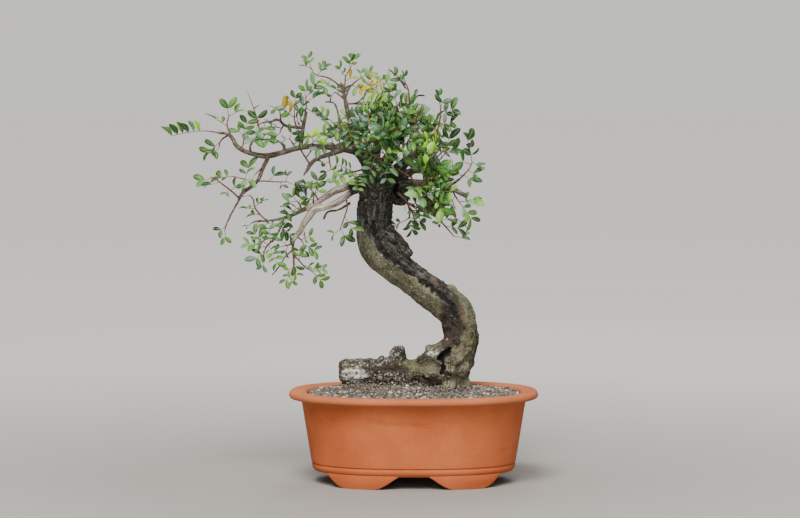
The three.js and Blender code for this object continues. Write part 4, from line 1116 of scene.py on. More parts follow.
for i, (point, _, grain, sample) in enumerate(spots):
    relief, marks["crack"][i] = bark_relief(point, grain, sample.run, marks["dead"][i])
    # Painted shade: the lower the relief, the more of this mark, so that the recesses are darkened.
    marks["pit"][i] = clamped(0.35 - 0.45 * relief)
    relief *= 0.18 + 0.82 * how_stout(sample.radius)
    relief = relief - HOLLOW_DEPTH * marks["hollow"][i] - CREVICE_DEPTH * marks["crevice"][i]
    vertices[i].co += normals[i] * relief * MM
for name, numbers in marks.items():
    store(old_wood.data, name, numbers)
layer = old_wood.data.attributes.new("grain", "FLOAT_VECTOR", "POINT")
layer.data.foreach_set("vector", grains.ravel())
smooth(old_wood)
print("bark relief done on", len(vertices), "vertices")

# %% [markdown]
# The bark is olive grey, with pale flecks where it peels, and nearly black along the dead strip, where old
# grey fibres show. Marks that belong to one place come from attributes. The grain is a stored position too:
# it runs across and along each limb, so noise read on it makes fibres that follow every bend. A mark's edge
# is frayed by adding the fibres to its attribute before the mask.

# %% Bark finish
bark = Finish("old_bark", 0.86, 0.25)
grain_place = bark.attribute("grain", "Vector")
fibres = bark.noise(560, 4, 0.7, grain_place)
strands = bark.noise(260, 3, 0.6, grain_place)
specks = bark.noise(620, 4, 0.7)
patches = bark.noise(55, 4, 0.6)
ragged = bark.times(bark.maths("SUBTRACT", fibres, 0.5), 1.3)
mottled = bark.plus(ragged, bark.times(bark.maths("SUBTRACT", specks, 0.55), 2.0))


def frayed(name, low, high, edge=ragged):
    """The share of a mark, with a ragged edge."""
    return bark.mask(bark.plus(bark.attribute(name), edge), low, high)


# %% Live bark: olive plates above, browner ones below, painted shade in pits and cracks, a dusty tone and painted light at the base, and slim branches in greyer bark
bark.colour = bark.ramp(patches, (0.34, (66, 69, 50)), (0.5, (94, 94, 73)), (0.66, (124, 121, 99)))
low_bark = bark.ramp(patches, (0.34, (60, 55, 42)), (0.5, (92, 88, 68)), (0.66, (128, 124, 102)))
bark.coat(bark.attribute("low"), low_bark)
bark.coat(bark.mask(specks, 0.54, 0.70), (186, 181, 152))
bark.coat(bark.mask(specks, 0.47, 0.33), (50, 49, 36))
bark.coat(bark.mask(fibres, 0.46, 0.34), (58, 56, 42))
# Painted shade in the recesses of the bark.
bark.coat(bark.attribute("pit"), (38, 35, 27), 0.42)
# Partly a dusty tone and partly painted light: the base is lightened toward a grey-green where it lies in
# shadow.
bark.coat(bark.attribute("dust"), (150, 146, 124), 0.4)
# Painted shade: the cracks and seams, which the relief also sinks, are coloured nearly black.
bark.coat(bark.mask(bark.attribute("crack"), 0.2, 0.8), (32, 27, 21))
branch_bark = bark.ramp(fibres, (0.32, (46, 41, 35)), (0.5, (84, 76, 66)), (0.68, (134, 125, 112)))
bark.coat(bark.mask(bark.attribute("branch"), 0.45, 0.8), branch_bark)

# %% Bare wood: the silver forks, the brown patches, the dead strip, and painted shade in its crevice
silver_wood = bark.ramp(strands, (0.32, (84, 73, 63)), (0.48, (148, 136, 123)), (0.66, (198, 189, 178)))
silver_wood = bark.mix(bark.mask(fibres, 0.46, 0.36), silver_wood, (88, 77, 68))
bark.coat(bark.attribute("silver"), silver_wood)
brown_wood = bark.ramp(fibres, (0.35, (25, 20, 17)), (0.65, (64, 53, 44)))
bark.coat(frayed("brown", 0.15, 0.65, mottled), brown_wood, 0.88)
dead_wood = bark.ramp(strands, (0.36, (22, 21, 19)), (0.52, (48, 47, 42)), (0.70, (98, 97, 88)))
dead_wood = bark.mix(bark.times(bark.attribute("top"), 0.2), dead_wood, (24, 23, 22))
dead_wood = bark.mix(bark.mask(specks, 0.56, 0.70), dead_wood, (140, 137, 126))
dead_wood = bark.mix(bark.mask(fibres, 0.48, 0.36), dead_wood, (20, 18, 16))
bark.coat(frayed("dead", 0.15, 0.55), dead_wood)
# Painted shade along the crevice, which the relief also sinks.
bark.coat(frayed("crevice", 0.1, 0.7), (22, 19, 16), 0.85)

# %% Small marks: tan and pink scars, moss, pale scale, lichen, and painted shade in the hollows
bark.coat(bark.attribute("tan"), bark.ramp(fibres, (0.35, (110, 88, 56)), (0.65, (178, 156, 112))), 0.3)
bark.coat(bark.attribute("pink"), bark.ramp(fibres, (0.35, (92, 68, 58)), (0.65, (146, 116, 102))), 0.4)
clumps = bark.mask(bark.noise(210, 4, 0.7), 0.44, 0.56)
moss = bark.ramp(specks, (0.35, (44, 54, 24)), (0.65, (104, 114, 66)))
bark.coat(bark.times(bark.attribute("moss"), clumps), moss, 0.6)
flecks = bark.mask(bark.noise(240, 4, 0.75), 0.42, 0.53)
pale_scale = bark.ramp(specks, (0.35, (142, 139, 132)), (0.55, (220, 217, 212)))
bark.coat(bark.times(bark.attribute("pale"), flecks), pale_scale)
speckles = bark.mask(bark.noise(420, 3, 0.7), 0.53, 0.6)
bark.coat(bark.times(bark.attribute("speckle"), speckles), pale_scale, 0.5)
lichen = bark.times(bark.mask(bark.cells(95), 0.16, 0.06), bark.mask(patches, 0.5, 0.6))
bark.coat(lichen, (196, 200, 178), 0.5)
# Painted shade: the hollows, sunk 5.5 mm by the relief, are coloured almost black.
bark.coat(bark.mask(bark.attribute("hollow"), 0.2, 0.8), (14, 12, 10))
bark_normal = bark.bump(specks, 0.0005, 0.9)
bark_normal = bark.bump(fibres, 0.0005, 0.8, bark_normal)
finish_piece(old_wood, "bark", bark.done(bark_normal), "tree_wood")

# %% [markdown]
# Branches thinner than about 5 mm would lose their shape in the remesh, so they stay tubes. Their ends start
# inside the thicker wood. They are greyer and smoother than the trunk.

# %% Thin branches
UNEVENNESS = 0.35
UNEVEN_WAVES = 400
slim = Finish("slim_branch", 0.75, 0.3)
slim_ashes = slim.noise(300, 4, 0.65)
slim.colour = slim.ramp(slim_ashes, (0.32, (48, 41, 35)), (0.5, (82, 70, 60)), (0.68, (128, 116, 102)))
slim_branch = slim.done(slim.bump(slim.noise(900, 3, 0.6), 0.0002, 0.7))
thin_branches = tubes("thin_branches", thin_limbs, sides=2, steps=4)
for vertex in thin_branches.data.vertices:
    vertex.co += vertex.normal * noise.noise(vertex.co * UNEVEN_WAVES) * UNEVENNESS * MM
smooth(thin_branches)
finish_piece(thin_branches, "bark", slim_branch)

# %% [markdown]
# ## Leaves
#
# A mastic leaf is a thin stalk with one to six pairs of small oval leaflets and none at its end. They are
# leathery and slightly folded along the midrib. One leaflet is modelled from a grid: its outline is drawn in,
# its two sides are lifted, its tip bends down, and Solidify gives it two skins. It is then copied, and each
# copy is turned by the frame of its own leaf. Particles could scatter leaves too, but not along a stalk.

# %% Sprays of leaves: a twig, and leaves of (place along the twig, tip, turn in degrees)
SPRAYS = {
    "far_left": (
        [(-214, -18, 391), (-224, -18, 393), (-232, -18, 394)],
        [(1, (-277, -19, 393), 0)],
    ),
    "left_hanging": (
        [(-206, -17, 389), (-213, -12, 385), (-216, -10, 381), (-217, -8, 376)],
        [(0.7, (-236, -4, 365), 60), (1, (-226, -13, 365), 60)],
    ),
    "left_upright": (
        [(-201, -16, 384), (-206, -13, 394), (-208, -12, 401), (-206, -12, 410)],
        [(1, (-209, -12, 430), 70), (1, (-190, -8, 420), 40), (0.6, (-226, -6, 412), 10)],
    ),
    "left_crook": (
        [(-192, -14, 373), (-190, -8, 381), (-190, -5, 389)],
        [(1, (-202, 2, 398), 60), (1, (-184, -8, 411), 80), (0.35, (-180, 6, 387), 40)],
    ),
    "left_tuft": (
        [(-159, -9, 404), (-168, -14, 403), (-174, -18, 400)],
        [(1, (-174, -20, 418), 90), (0.5, (-160, -29, 378), 90), (1, (-179, -27, 377), 90)],
    ),
    "left_tuft_back": (
        [(-144, -7, 401), (-148, 0, 396), (-150, 4, 391)],
        [(1, (-159, 14, 383), 60), (0.5, (-163, -16, 400), 10)],
    ),
    "pale_upright": (
        [(-148, -8, 403), (-149, -8, 413), (-150, -8, 421)],
        [(1, (-135, -3, 427), 30), (0.5, (-140, 0, 413), 50), (0.8, (-160, -17, 419), 40)],
    ),
    "yellow_tuft": (
        [(-131, -6, 398), (-133, -10, 407), (-133, -10, 416)],
        [(1, (-132, -10, 440), 60), (0.6, (-150, -19, 425), 60), (0.6, (-118, -15, 430), 60),
            (0.3, (-123, -30, 412), 60)],
    ),
    "left_spire": (
        [(-121, -4, 413), (-120, -4, 423), (-121, -4, 432)],
        [(1, (-121, -4, 446), 60), (0.7, (-103, 3, 436), 20), (0.35, (-94, 6, 403), 20),
            (0.9, (-105, -11, 452), 30)],
    ),
    "bright_pair": (
        [(-113, -2, 376), (-112, -10, 382)],
        [(0.8, (-114, -16, 392), 90), (1, (-92, -16, 396), 90), (0.5, (-131, -21, 390), 60)],
    ),
    "blue_pair": (
        [(-132, -5, 374), (-135, -12, 380), (-138, -17, 385)],
        [(1, (-148, -21, 385), 60), (1, (-134, -25, 399), 80), (0.5, (-124, -29, 383), 60)],
    ),
    "shoulder_left": (
        [(-87, 3, 375), (-91, -6, 380), (-95, -12, 380)],
        [(1, (-112, -31, 372), 60), (0.6, (-91, -10, 402), 60), (0.3, (-64, -17, 389), 60)],
    ),
    "drop_tip": (
        [(-204, -25, 299), (-208, -27, 291), (-210, -27, 284)],
        [(1, (-208, -28, 268), 80), (0.75, (-221, -30, 280), 40)],
    ),
    "drop_left": (
        [(-194, -22, 319), (-202, -28, 327), (-212, -32, 335), (-218, -34, 340), (-223, -35, 343)],
        [(1, (-242, -41, 337), 40), (0.75, (-235, -37, 333), 20), (0.4, (-211, -36, 322), 60),
            (0.35, (-194, -32, 338), 40)],
    ),
    "drop_upper": (
        [(-180, -19, 332), (-184, -18, 338), (-192, -16, 341), (-201, -14, 343)],
        [(1, (-224, -10, 343), 40), (0.45, (-183, -9, 362), 60), (0.3, (-193, -14, 328), 60)],
    ),
    "drop_mid": (
        [(-167, -14, 354), (-173, -21, 349), (-176, -25, 346)],
        [(1, (-185, -34, 333), 60)],
    ),
    "drop_right": (
        [(-175, -18, 338), (-165, -15, 338), (-154, -13, 337), (-141, -12, 337)],
        [(0.4, (-149, -17, 353), 60), (1, (-123, -12, 330), 60), (0.95, (-140, -10, 352), 30),
            (0.75, (-144, -18, 330), 60)],
    ),
    "thin_upright": (
        [(-164, -15, 294), (-172, -12, 301), (-178, -11, 310), (-179, -11, 317), (-183, -11, 322)],
        [(0.5, (-195, -7, 310), 10), (0.6, (-165, -7, 320), 20), (1, (-192, -9, 320), 20),
            (0.3, (-185, -5, 300), 50)],
    ),
    "low_left_tip": (
        [(-170, -16, 294), (-177, -18, 293), (-181, -20, 291)],
        [(1, (-189, -22, 285), 20), (0.5, (-170, -27, 285), 50)],
    ),
    "cluster_left": (
        [(-156, -16, 273), (-164, -19, 265), (-167, -21, 257), (-166, -21, 250)],
        [(0.45, (-190, -28, 272), 60), (0.35, (-182, -24, 285), 70), (0.55, (-180, -33, 248), 80),
            (0.2, (-161, -34, 290), 90), (1, (-171, -21, 237), 90), (0.3, (-150, -38, 243), 90)],
    ),
    "cluster_top": (
        [(-146, -14, 293), (-153, -6, 288), (-159, -4, 286)],
        [(1, (-176, -1, 281), 50), (0.5, (-132, 5, 273), 60), (0.4, (-168, -16, 292), 30)],
    ),
    "cluster_light": (
        [(-140, -13, 298), (-143, -20, 304), (-144, -22, 307)],
        [(0.4, (-143, -30, 287), 90), (1, (-147, -22, 313), 80)],
    ),
    "cluster_mid": (
        [(-135, -14, 268), (-141, -8, 266), (-145, -5, 265)],
        [(0.7, (-155, -1, 277), 70), (1, (-157, 2, 263), 50), (0.6, (-146, -8, 252), 70)],
    ),
    "cluster_right": (
        [(-131, -14, 276), (-125, -17, 272), (-123, -19, 268)],
        [(0.5, (-111, -27, 279), 80), (1, (-122, -26, 253), 70), (1, (-103, -17, 257), 60)],
    ),
    "hanging_bottom": (
        [(-134, -14, 250), (-134, -16, 243), (-136, -17, 237), (-136, -17, 232)],
        [(1, (-135, -17, 219), 80), (0.7, (-146, -21, 222), 60), (0.6, (-127, -19, 228), 60),
            (0.55, (-144, -24, 238), 80), (0.1, (-129, -6, 235), 90)],
    ),
    "hanging_right": (
        [(-135, -14, 256), (-128, -12, 249), (-122, -11, 242), (-114, -11, 237)],
        [(0.35, (-127, -22, 267), 80), (0.6, (-104, -18, 240), 30), (1, (-95, -11, 242), 50),
            (1, (-98, -7, 221), 80)],
    ),
    "nest_left": (
        [(-125, -10, 305), (-127, -18, 312), (-130, -24, 316)],
        [(1, (-148, -33, 315), 60), (0.8, (-141, -20, 329), 60), (0.7, (-123, -30, 334), 60),
            (0.4, (-143, -41, 302), 60)],
    ),
    "nest_right": (
        [(-112, -4, 311), (-112, -12, 317), (-111, -16, 322)],
        [(1, (-116, -18, 339), 60), (1, (-101, -14, 333), 60), (0.5, (-122, -35, 323), 60)],
    ),
    "nest_top": (
        [(-106, 0, 315), (-111, -9, 324), (-117, -12, 331)],
        [(1, (-115, -12, 339), 40), (0.9, (-127, -15, 337), 60), (0.5, (-106, -9, 348), 80)],
    ),
    "fork_inner": (
        [(-95, -2, 367), (-94, -5, 359), (-92, -7, 351)],
        [(0.5, (-108, -13, 356), 30), (1, (-105, -9, 345), 40), (1, (-75, -13, 341), 60)],
    ),
    "fork_front": (
        [(-58, 6, 350), (-68, -18, 348), (-74, -28, 347)],
        [(1, (-93, -42, 336), 60), (0.6, (-88, -43, 360), 60), (0.5, (-60, -54, 330), 60)],
    ),
    "trunk_drop": (
        [(-76, -8, 319), (-74, -18, 309), (-78, -21, 296), (-82, -23, 284)],
        [(1, (-96, -25, 275), 50), (0.95, (-73, -27, 268), 70), (0.6, (-64, -29, 278), 60)],
    ),
    "apex_left": (
        [(-79, 12, 439), (-89, 9, 449), (-99, 7, 454), (-109, 5, 456), (-115, 4, 464)],
        [(1, (-120, 2, 482), 60), (0.75, (-96, 13, 471), 60), (0.4, (-104, -7, 438), 60),
            (0.95, (-128, 5, 471), 40)],
    ),
    "apex_mid": (
        [(-78, 12, 435), (-77, 10, 446), (-76, 9, 455), (-71, 9, 463)],
        [(1, (-74, 9, 480), 60), (1, (-66, 11, 481), 60), (0.65, (-86, 2, 469), 30),
            (0.5, (-65, 19, 457), 60)],
    ),
    "apex_right": (
        [(-77, 12, 429), (-71, 5, 443), (-63, 2, 450), (-59, 0, 453)],
        [(1, (-60, 0, 464), 60), (1, (-43, -2, 463), 70), (0.6, (-55, -10, 437), 70)],
    ),
    "apex_yellow": (
        [(-76, 12, 424), (-67, 7, 424), (-58, 2, 429), (-52, -2, 438)],
        [(1, (-27, -21, 451), 60), (0.8, (-49, -12, 460), 70), (0.4, (-36, -33, 428), 60)],
    ),
    "apex_hollow": (
        [(-76, 12, 427), (-84, 21, 434), (-89, 24, 437)],
        [(1, (-97, 31, 428), 60), (0.7, (-89, 18, 449), 60), (0.4, (-77, 35, 445), 70)],
    ),
    "second_top": (
        [(-39, 19, 415), (-38, 26, 427), (-35, 29, 438), (-33, 29, 446)],
        [(1, (-21, 29, 457), 70), (0.95, (-37, 29, 459), 60), (0.7, (-19, 32, 445), 40),
            (0.3, (-24, 39, 425), 60)],
    ),
    "second_front": (
        [(-39, 20, 399), (-47, -7, 408), (-51, -21, 413)],
        [(1, (-46, -45, 385), 80), (0.8, (-64, -34, 401), 60), (0.8, (-30, -43, 415), 60)],
    ),
    "leader_front": (
        [(-69, 12, 397), (-73, -5, 401), (-77, -15, 404)],
        [(1, (-90, -29, 390), 70), (0.8, (-67, -41, 381), 80), (0.5, (-59, -30, 414), 60)],
    ),
    "right_top": (
        [(-5, 8, 418), (-5, 8, 429), (-6, 8, 440), (-10, 8, 449)],
        [(1, (-12, 8, 461), 40), (0.65, (-25, 8, 463), 20), (0.4, (11, 15, 434), 30),
            (0.1, (9, 18, 423), 20)],
    ),
    "right_node_front": (
        [(-16, 6, 412), (-18, -2, 419), (-19, -6, 425)],
        [(0.8, (-8, -18, 428), 80), (1, (-27, -3, 446), 60), (0.4, (-43, -29, 417), 60)],
    ),
    "right_node_side": (
        [(-2, 10, 412), (5, 18, 408), (7, 24, 404)],
        [(0.6, (25, 31, 404), 30), (1, (4, 41, 384), 70), (0.5, (4, 21, 421), 70)],
    ),
    "right_spire": (
        [(26, -9, 393), (29, -12, 405), (30, -14, 416), (29, -14, 426)],
        [(1, (26, -14, 441), 30), (0.75, (34, -18, 435), 80), (0.5, (50, -18, 423), 50),
            (0.2, (48, -22, 406), 60)],
    ),
    "right_column": (
        [(21, -9, 364), (18, 2, 370), (17, 6, 377)],
        [(1, (14, 8, 402), 90), (0.6, (28, 12, 381), 80), (0.3, (11, 19, 360), 80)],
    ),
    "right_upper": (
        [(19, -8, 352), (29, 0, 361), (36, 4, 369)],
        [(1, (41, 4, 395), 60), (1, (54, 6, 376), 80), (0.7, (31, 13, 383), 60), (0.3, (40, 17, 346), 60)],
    ),
    "right_tip": (
        [(49, -9, 338), (56, -11, 345), (62, -13, 352), (65, -13, 359)],
        [(1, (61, -15, 394), 40), (0.9, (44, -18, 363), 60), (1, (77, -15, 354), 50),
            (0.6, (75, -18, 344), 70), (0.35, (70, -18, 336), 50), (0.3, (41, -15, 349), 40)],
    ),
    "right_low_tip": (
        [(42, -7, 330), (47, -2, 320), (51, 0, 314)],
        [(1, (76, 0, 319), 30), (1, (71, 5, 289), 60), (0.5, (39, 15, 303), 60)],
    ),
    "right_low_sprig": (
        [(26, -18, 298), (33, -14, 290), (40, -13, 282), (45, -13, 276)],
        [(1, (64, -13, 274), 40), (0.5, (59, -8, 285), 60), (0.25, (44, -7, 300), 60),
            (0.3, (24, -21, 288), 50)],
    ),
    "right_front": (
        [(18, -6, 334), (20, -20, 327), (22, -27, 321)],
        [(1, (36, -36, 301), 70), (0.7, (1, -43, 319), 60), (0.5, (43, -49, 328), 70)],
    ),
    "inner_low": (
        [(-5, -4, 304), (-5, 2, 297), (-9, 5, 293)],
        [(1, (-28, 11, 286), 50), (0.6, (15, 12, 289), 50), (0.4, (0, 17, 274), 80)],
    ),
    "centre_front_spray": (
        [(-22, -30, 377), (-18, -37, 391), (-13, -39, 400)],
        [(1, (-4, -42, 421), 60), (0.6, (7, -53, 379), 70), (0.6, (-36, -53, 385), 70)],
    ),
    "centre_low_spray": (
        [(-31, -16, 359), (-37, -30, 364), (-43, -37, 365)],
        [(1, (-52, -46, 339), 90), (0.7, (-28, -52, 337), 80), (0.8, (-64, -48, 377), 60)],
    ),
    "back_left_spray": (
        [(-77, 54, 387), (-86, 61, 396), (-93, 63, 403)],
        [(1, (-110, 63, 419), 40), (0.6, (-105, 71, 380), 40), (0.8, (-72, 73, 417), 40)],
    ),
    "back_centre_spray": (
        [(-19, 50, 396), (-21, 57, 412), (-24, 59, 423)],
        [(1, (-37, 56, 443), 40), (0.7, (0, 63, 430), 40), (0.4, (-42, 77, 408), 40)],
    ),
    "back_right_spray": (
        [(13, 58, 356), (24, 65, 369), (30, 67, 378)],
        [(1, (37, 67, 403), 40), (0.7, (52, 71, 368), 40), (0.4, (9, 79, 376), 40)],
    ),
    "back_low_spray": (
        [(-4, 47, 346), (1, 57, 332), (5, 62, 323)],
        [(1, (21, 65, 300), 40), (0.6, (-15, 77, 306), 40)],
    ),
}

# %% Proportions of a leaf, with its radii and gap in mm
PETIOLE_SHARE = 0.3
PAIR_SPACING = 0.56
END_REACH = 0.75
MOST_PAIRS = 6
LEAF_ARCH = 0.16
PAIR_LEAN = math.radians(30)
END_LEAN = math.radians(44)
FIRST_PAIR_SIZE = 0.88
LEAFLET_SIZES = (0.8, 1.12)
LEAFLET_GAP = 0.3
AIM_SPREAD = 0.24
TURN_SPREAD = 0.42
STALK_RADIUS = 0.5
STALK_TAPER = 0.22
TWIG_RADIUS = 1.1
TWIG_TAPER = 0.5

# Length of a leaflet in mm, how steeply a pair folds up, how full it is for its place, and how unruly
LeafForm = namedtuple("LeafForm", "length fold fullness unruly", defaults=(0.28, 1.0, 1.0))
USUAL_FORM = LeafForm(13)
INNER_FORM = LeafForm(15.5)
OWN_FORMS = {
    "far_left": LeafForm(11.5, 1.7, 1.45, 0.3),
    "left_": LeafForm(14, 0.4, 1.15, 0.8),
    "pale_upright": LeafForm(14, fullness=1.1),
    "right_": LeafForm(14, fullness=1.12),
    "drop_": LeafForm(14.5, fullness=1.1),
    "cluster_": LeafForm(12),
    "hanging_": LeafForm(12),
    "apex_": LeafForm(12),
    "thin_upright": LeafForm(10),
}

# %% One leaflet, one unit long
LEAFLET_THICKNESS = 0.03
LEAST_WIDTH = 0.03


def model_leaflet(half_width, lift, droop, curl):
    """A folded oval blade from 0 to 1 along X, with its upper face up."""
    bpy.ops.mesh.primitive_grid_add(x_subdivisions=7, y_subdivisions=2, size=1, location=(0.5, 0, 0))
    blade = bpy.context.object
    settle(blade)
    for vertex in blade.data.vertices:
        along, across = vertex.co.x, vertex.co.y * 2
        outline = math.sin(math.pi * clamped(along) ** 1.2) ** 0.56
        width = half_width * max(outline, LEAST_WIDTH)
        rise = lift * width * abs(across) - droop * along**2 + curl * math.sin(math.pi * along)
        vertex.co = Vector((along, across * width, rise))
    modify(blade, "SOLIDIFY", thickness=LEAFLET_THICKNESS, offset=0)
    return blade


# Half width, lift of the sides, droop of the tip and curl of the middle
LEAFLET_SHAPES = (
    (0.22, 0.35, 0.10, 0.05),
    (0.26, 0.22, 0.18, 0.02),
    (0.20, 0.50, 0.04, 0.08),
    (0.24, 0.15, 0.26, 0.00),
    (0.19, 0.65, 0.00, 0.04),
)
leaflets = []
for shape in LEAFLET_SHAPES:
    blade = model_leaflet(*shape)
    tidy_shell(blade, 0.0001)
    leaflet_points, leaflet_faces = mesh_arrays(blade)
    leaflet_uvs = np.empty(len(blade.data.loops) * 2)
    blade.data.uv_layers[0].data.foreach_get("uv", leaflet_uvs)
    leaflets.append(leaflet_points)
    bpy.data.objects.remove(blade)
print("leaflet:", len(leaflet_points), "vertices,", len(leaflet_faces), "faces")

# %% Routes and leaf frames


def place_on_route(route, share):
    """Point and direction at a share of the length of a route."""
    points = [Vector(p[:3]) for p in route]
    lengths = [(b - a).length for a, b in zip(points, points[1:])]
    left = share * sum(lengths)
    for a, b, length in zip(points, points[1:], lengths):
        if left <= length + 0.001:
            return a.lerp(b, left / length), (b - a).normalized()
        left -= length
    return points[-1], (points[-1] - points[-2]).normalized()


def leaf_frame(base, tip, turn):
    """Directions along a leaf, to its side and out of its upper face, and its reach."""
    along = tip - base
    reach = along.length
    along.normalize()
    front = Vector((0, -1, 0))
    front = (front - along * front.dot(along)).normalized()
    upper = along.cross(front)
    if upper.z < 0:
        upper.negate()
    face = upper * math.cos(turn) + front * math.sin(turn)
    return along, face.cross(along), face, reach


leaf_dice = random.Random(12)
leaf_stalks = []
fresh_twigs = []


def jittered(direction, amount):
    """A direction turned a little at random."""
    shift = Vector([leaf_dice.uniform(-amount, amount) for _ in range(3)])
    return (direction + shift).normalized()


class Foliage:
    """Gathers the leaflets of a group of sprays, and builds them as one piece."""

    def __init__(self, name):
        self.name = name
        self.places = []
        self.values = {"tone": [], "gold": [], "lime": [], "sheen": []}

    def add_leaflet(self, base, along, side, face, length, tint):
        """One leaflet from its base point."""
        turn = np.array([along, side, face]).T * length * MM
        self.places.append((leaf_dice.randrange(len(leaflets)), turn, np.array(at(*base))))
        for label in self.values:
            self.values[label].append(tint[label])

    def build(self):
        piece = copy_many(self.name, leaflets, leaflet_faces, self.places, self.values)
        layer = piece.data.uv_layers.new(name="leaf_uv")
        layer.data.foreach_set("uv", np.tile(leaflet_uvs, len(self.places)))
        smooth(piece)
        return piece


# %% Colours by place, as (x, z, radius)
GOLD_SPOTS = [(-45, 447, 7), (-72, 454, 4), (-140, 421, 5), (-58, 438, 4)]
LIME_SPOTS = [(-114, 385, 6), (-103, 390, 6), (17, 372, 8), (17, 385, 6), (15, 361, 5), (-241, 401, 4)]
SHEEN_SPOTS = [(-142, 381, 10), (-18, 358, 8), (60, 309, 7), (-60, 408, 7), (-186, 382, 6)]
SPOT_FADE = 3
TONE_SPREAD = 0.3
GOLD_SHARES = (0.6, 1.0)
SHEEN_SHARES = (0.3, 0.7)
SHEEN_THRESHOLD = 0.82


def spot_share(spots, point):
    """1 inside a spot, falling to 0 a little outside it."""
    nearest = min(math.hypot(point.x - x, point.z - z) - radius for x, z, radius in spots)
    return clamped(1 - nearest / SPOT_FADE)


def chance_sheen():
    """Sky mirrored by some of the leaflets, wherever they are."""
    share = leaf_dice.uniform(*SHEEN_SHARES)
    return share if leaf_dice.random() > SHEEN_THRESHOLD else 0.0


def leaflet_tint(middle, tone):
    """The numbers that colour a leaflet."""
    return {
        "tone": clamped(tone + leaf_dice.uniform(-TONE_SPREAD, TONE_SPREAD)),
        "gold": spot_share(GOLD_SPOTS, middle) * leaf_dice.uniform(*GOLD_SHARES),
        "lime": spot_share(LIME_SPOTS, middle) if middle.y < 0 else 0.0,
        "sheen": max(spot_share(SHEEN_SPOTS, middle), chance_sheen()),
    }


# %% One leaf


def add_leaf(foliage, base, tip, turn, tone, form):
    """A stalk with its pairs of leaflets, from its base on the twig to its tip."""
    along, side, face, reach = leaf_frame(base, tip, turn)
    spans = {n: PETIOLE_SHARE + PAIR_SPACING * (n - 0.5) + END_REACH for n in range(1, MOST_PAIRS + 1)}
    pairs = min(spans, key=lambda n: abs(reach / spans[n] - form.length))
    size = reach / spans[pairs]

    def stalk_point(run):
        return base + along * run - face * (LEAF_ARCH * run * run / reach)

    stalk_length = PETIOLE_SHARE + PAIR_SPACING * (pairs - 0.5)
    stalk = [stalk_point(i / 4 * size * stalk_length) for i in range(5)]
    leaf_stalks.append(tapering(stalk, STALK_RADIUS, STALK_TAPER))
    for pair in range(pairs):
        run = size * (PETIOLE_SHARE + PAIR_SPACING * (pair + 0.5))
        bend = 2 * LEAF_ARCH * run / reach
        ahead = (along - face * bend).normalized()
        upward = (face + along * bend).normalized()
        spot = stalk_point(run)
        lean = END_LEAN if pair == pairs - 1 else PAIR_LEAN
        for sign in (-1, 1):
            out = side * (sign * math.cos(lean)) + ahead * math.sin(lean) + upward * form.fold
            out = jittered(out.normalized(), AIM_SPREAD * form.unruly)
            normal = jittered(upward - out * form.fold * 0.5, TURN_SPREAD * form.unruly)
            across = normal.cross(out).normalized()
            own_size = size * form.fullness * leaf_dice.uniform(*LEAFLET_SIZES)
            if pair == 0:
                own_size *= FIRST_PAIR_SIZE
            tint = leaflet_tint(spot + out * own_size / 2, tone)
            foliage.add_leaflet(spot + out * LEAFLET_GAP, out, across, out.cross(across), own_size, tint)


# %% Grow the sprays that the front view shows
GROUPS = {
    "left_foliage": (
        "far_left", "left_", "pale_upright", "yellow_tuft", "blue_pair", "bright_pair", "shoulder_left",
    ),
    "drooping_foliage": ("drop_", "thin_upright", "low_left_tip", "cluster_", "hanging_", "nest_"),
    "apex_foliage": ("apex_", "second_", "leader_front"),
    "crown_foliage": ("fork_", "centre_", "trunk_drop", "inner_low"),
    "right_foliage": ("right_",),
    "back_foliage": ("back_",),
}
foliages = {name: Foliage(name) for name in GROUPS}


def group_of(spray):
    """The piece that a spray belongs to."""
    return next(name for name, starts in GROUPS.items() if spray.startswith(starts))


for name, (twig, leaves) in SPRAYS.items():
    fresh_twigs.append(tapering(twig, TWIG_RADIUS, TWIG_TAPER))
    form = next((form for start, form in OWN_FORMS.items() if name.startswith(start)), USUAL_FORM)
    spray_tone = leaf_dice.uniform(0.12, 0.78)
    for share, tip, turn in leaves:
        base, _ = place_on_route(twig, share)
        leaf_tone = spray_tone + leaf_dice.uniform(-0.2, 0.2)
        add_leaf(foliages[group_of(name)], base, Vector(tip), math.radians(turn), leaf_tone, form)
print("sprays:", len(SPRAYS), "leaflets:", sum(len(f.places) for f in foliages.values()))

# %% [markdown]
# The crown is deep, and the photograph can't show its inside or its back. There more sprays grow by a rule
# along the inner limbs, with seeded draws. They point away from the heart of the crown. A leaf is kept only
# where its tip is inside the crown's clouds, leaves the gap at the upper right open, and doesn't hide the top
# of the trunk or the fork of the arched branch.

# %% Limits of the inner crown
CROWN_HEART = Vector((-25, 14, 352))
# Two rounded clouds, as (middle, reach): the crown, and the skirt of leaves that hangs right of the trunk
LEAF_CLOUDS = (
    (Vector((-24, 8, 374)), Vector((80, 82, 62))),
    (Vector((10, -8, 322)), Vector((34, 34, 32))),
)
BACK_START = 30
# How many sprays each limb gets, if they find room
INNER_SPRAYS = {
    "second_leader": 5, "centre_back": 6, "left_back": 6, "right_back": 5, "centre_front": 8,
    "right_leader": 5, "right_arm": 8, "right_spire_stem": 3, "leader": 4, "arched": 3, "back_fork": 2,
    "right_low_stem": 8, "inner_low_stem": 5,
}
TRIES_PER_SPRAY = 6
LEAF_SHARES = (0.45, 0.68, 0.86, 1.0)
GOLDEN_ANGLE = math.radians(137)


def in_crown(point):
    """Whether a leaf may reach a point."""
    inside = any(
        sum(((point[k] - middle[k]) / reach[k]) ** 2 for k in range(3)) < 1 for middle, reach in LEAF_CLOUDS
    )
    hides_trunk = -74 < point.x < -8 and point.z < 340 and point.y < 20
    hides_fork = -72 < point.x < -44 and 345 < point.z < 380 and point.y < 20
    in_the_gap = point.x > 26 and point.z > 378
    return inside and not hides_trunk and not hides_fork and not in_the_gap


# %% Grow the inner crown


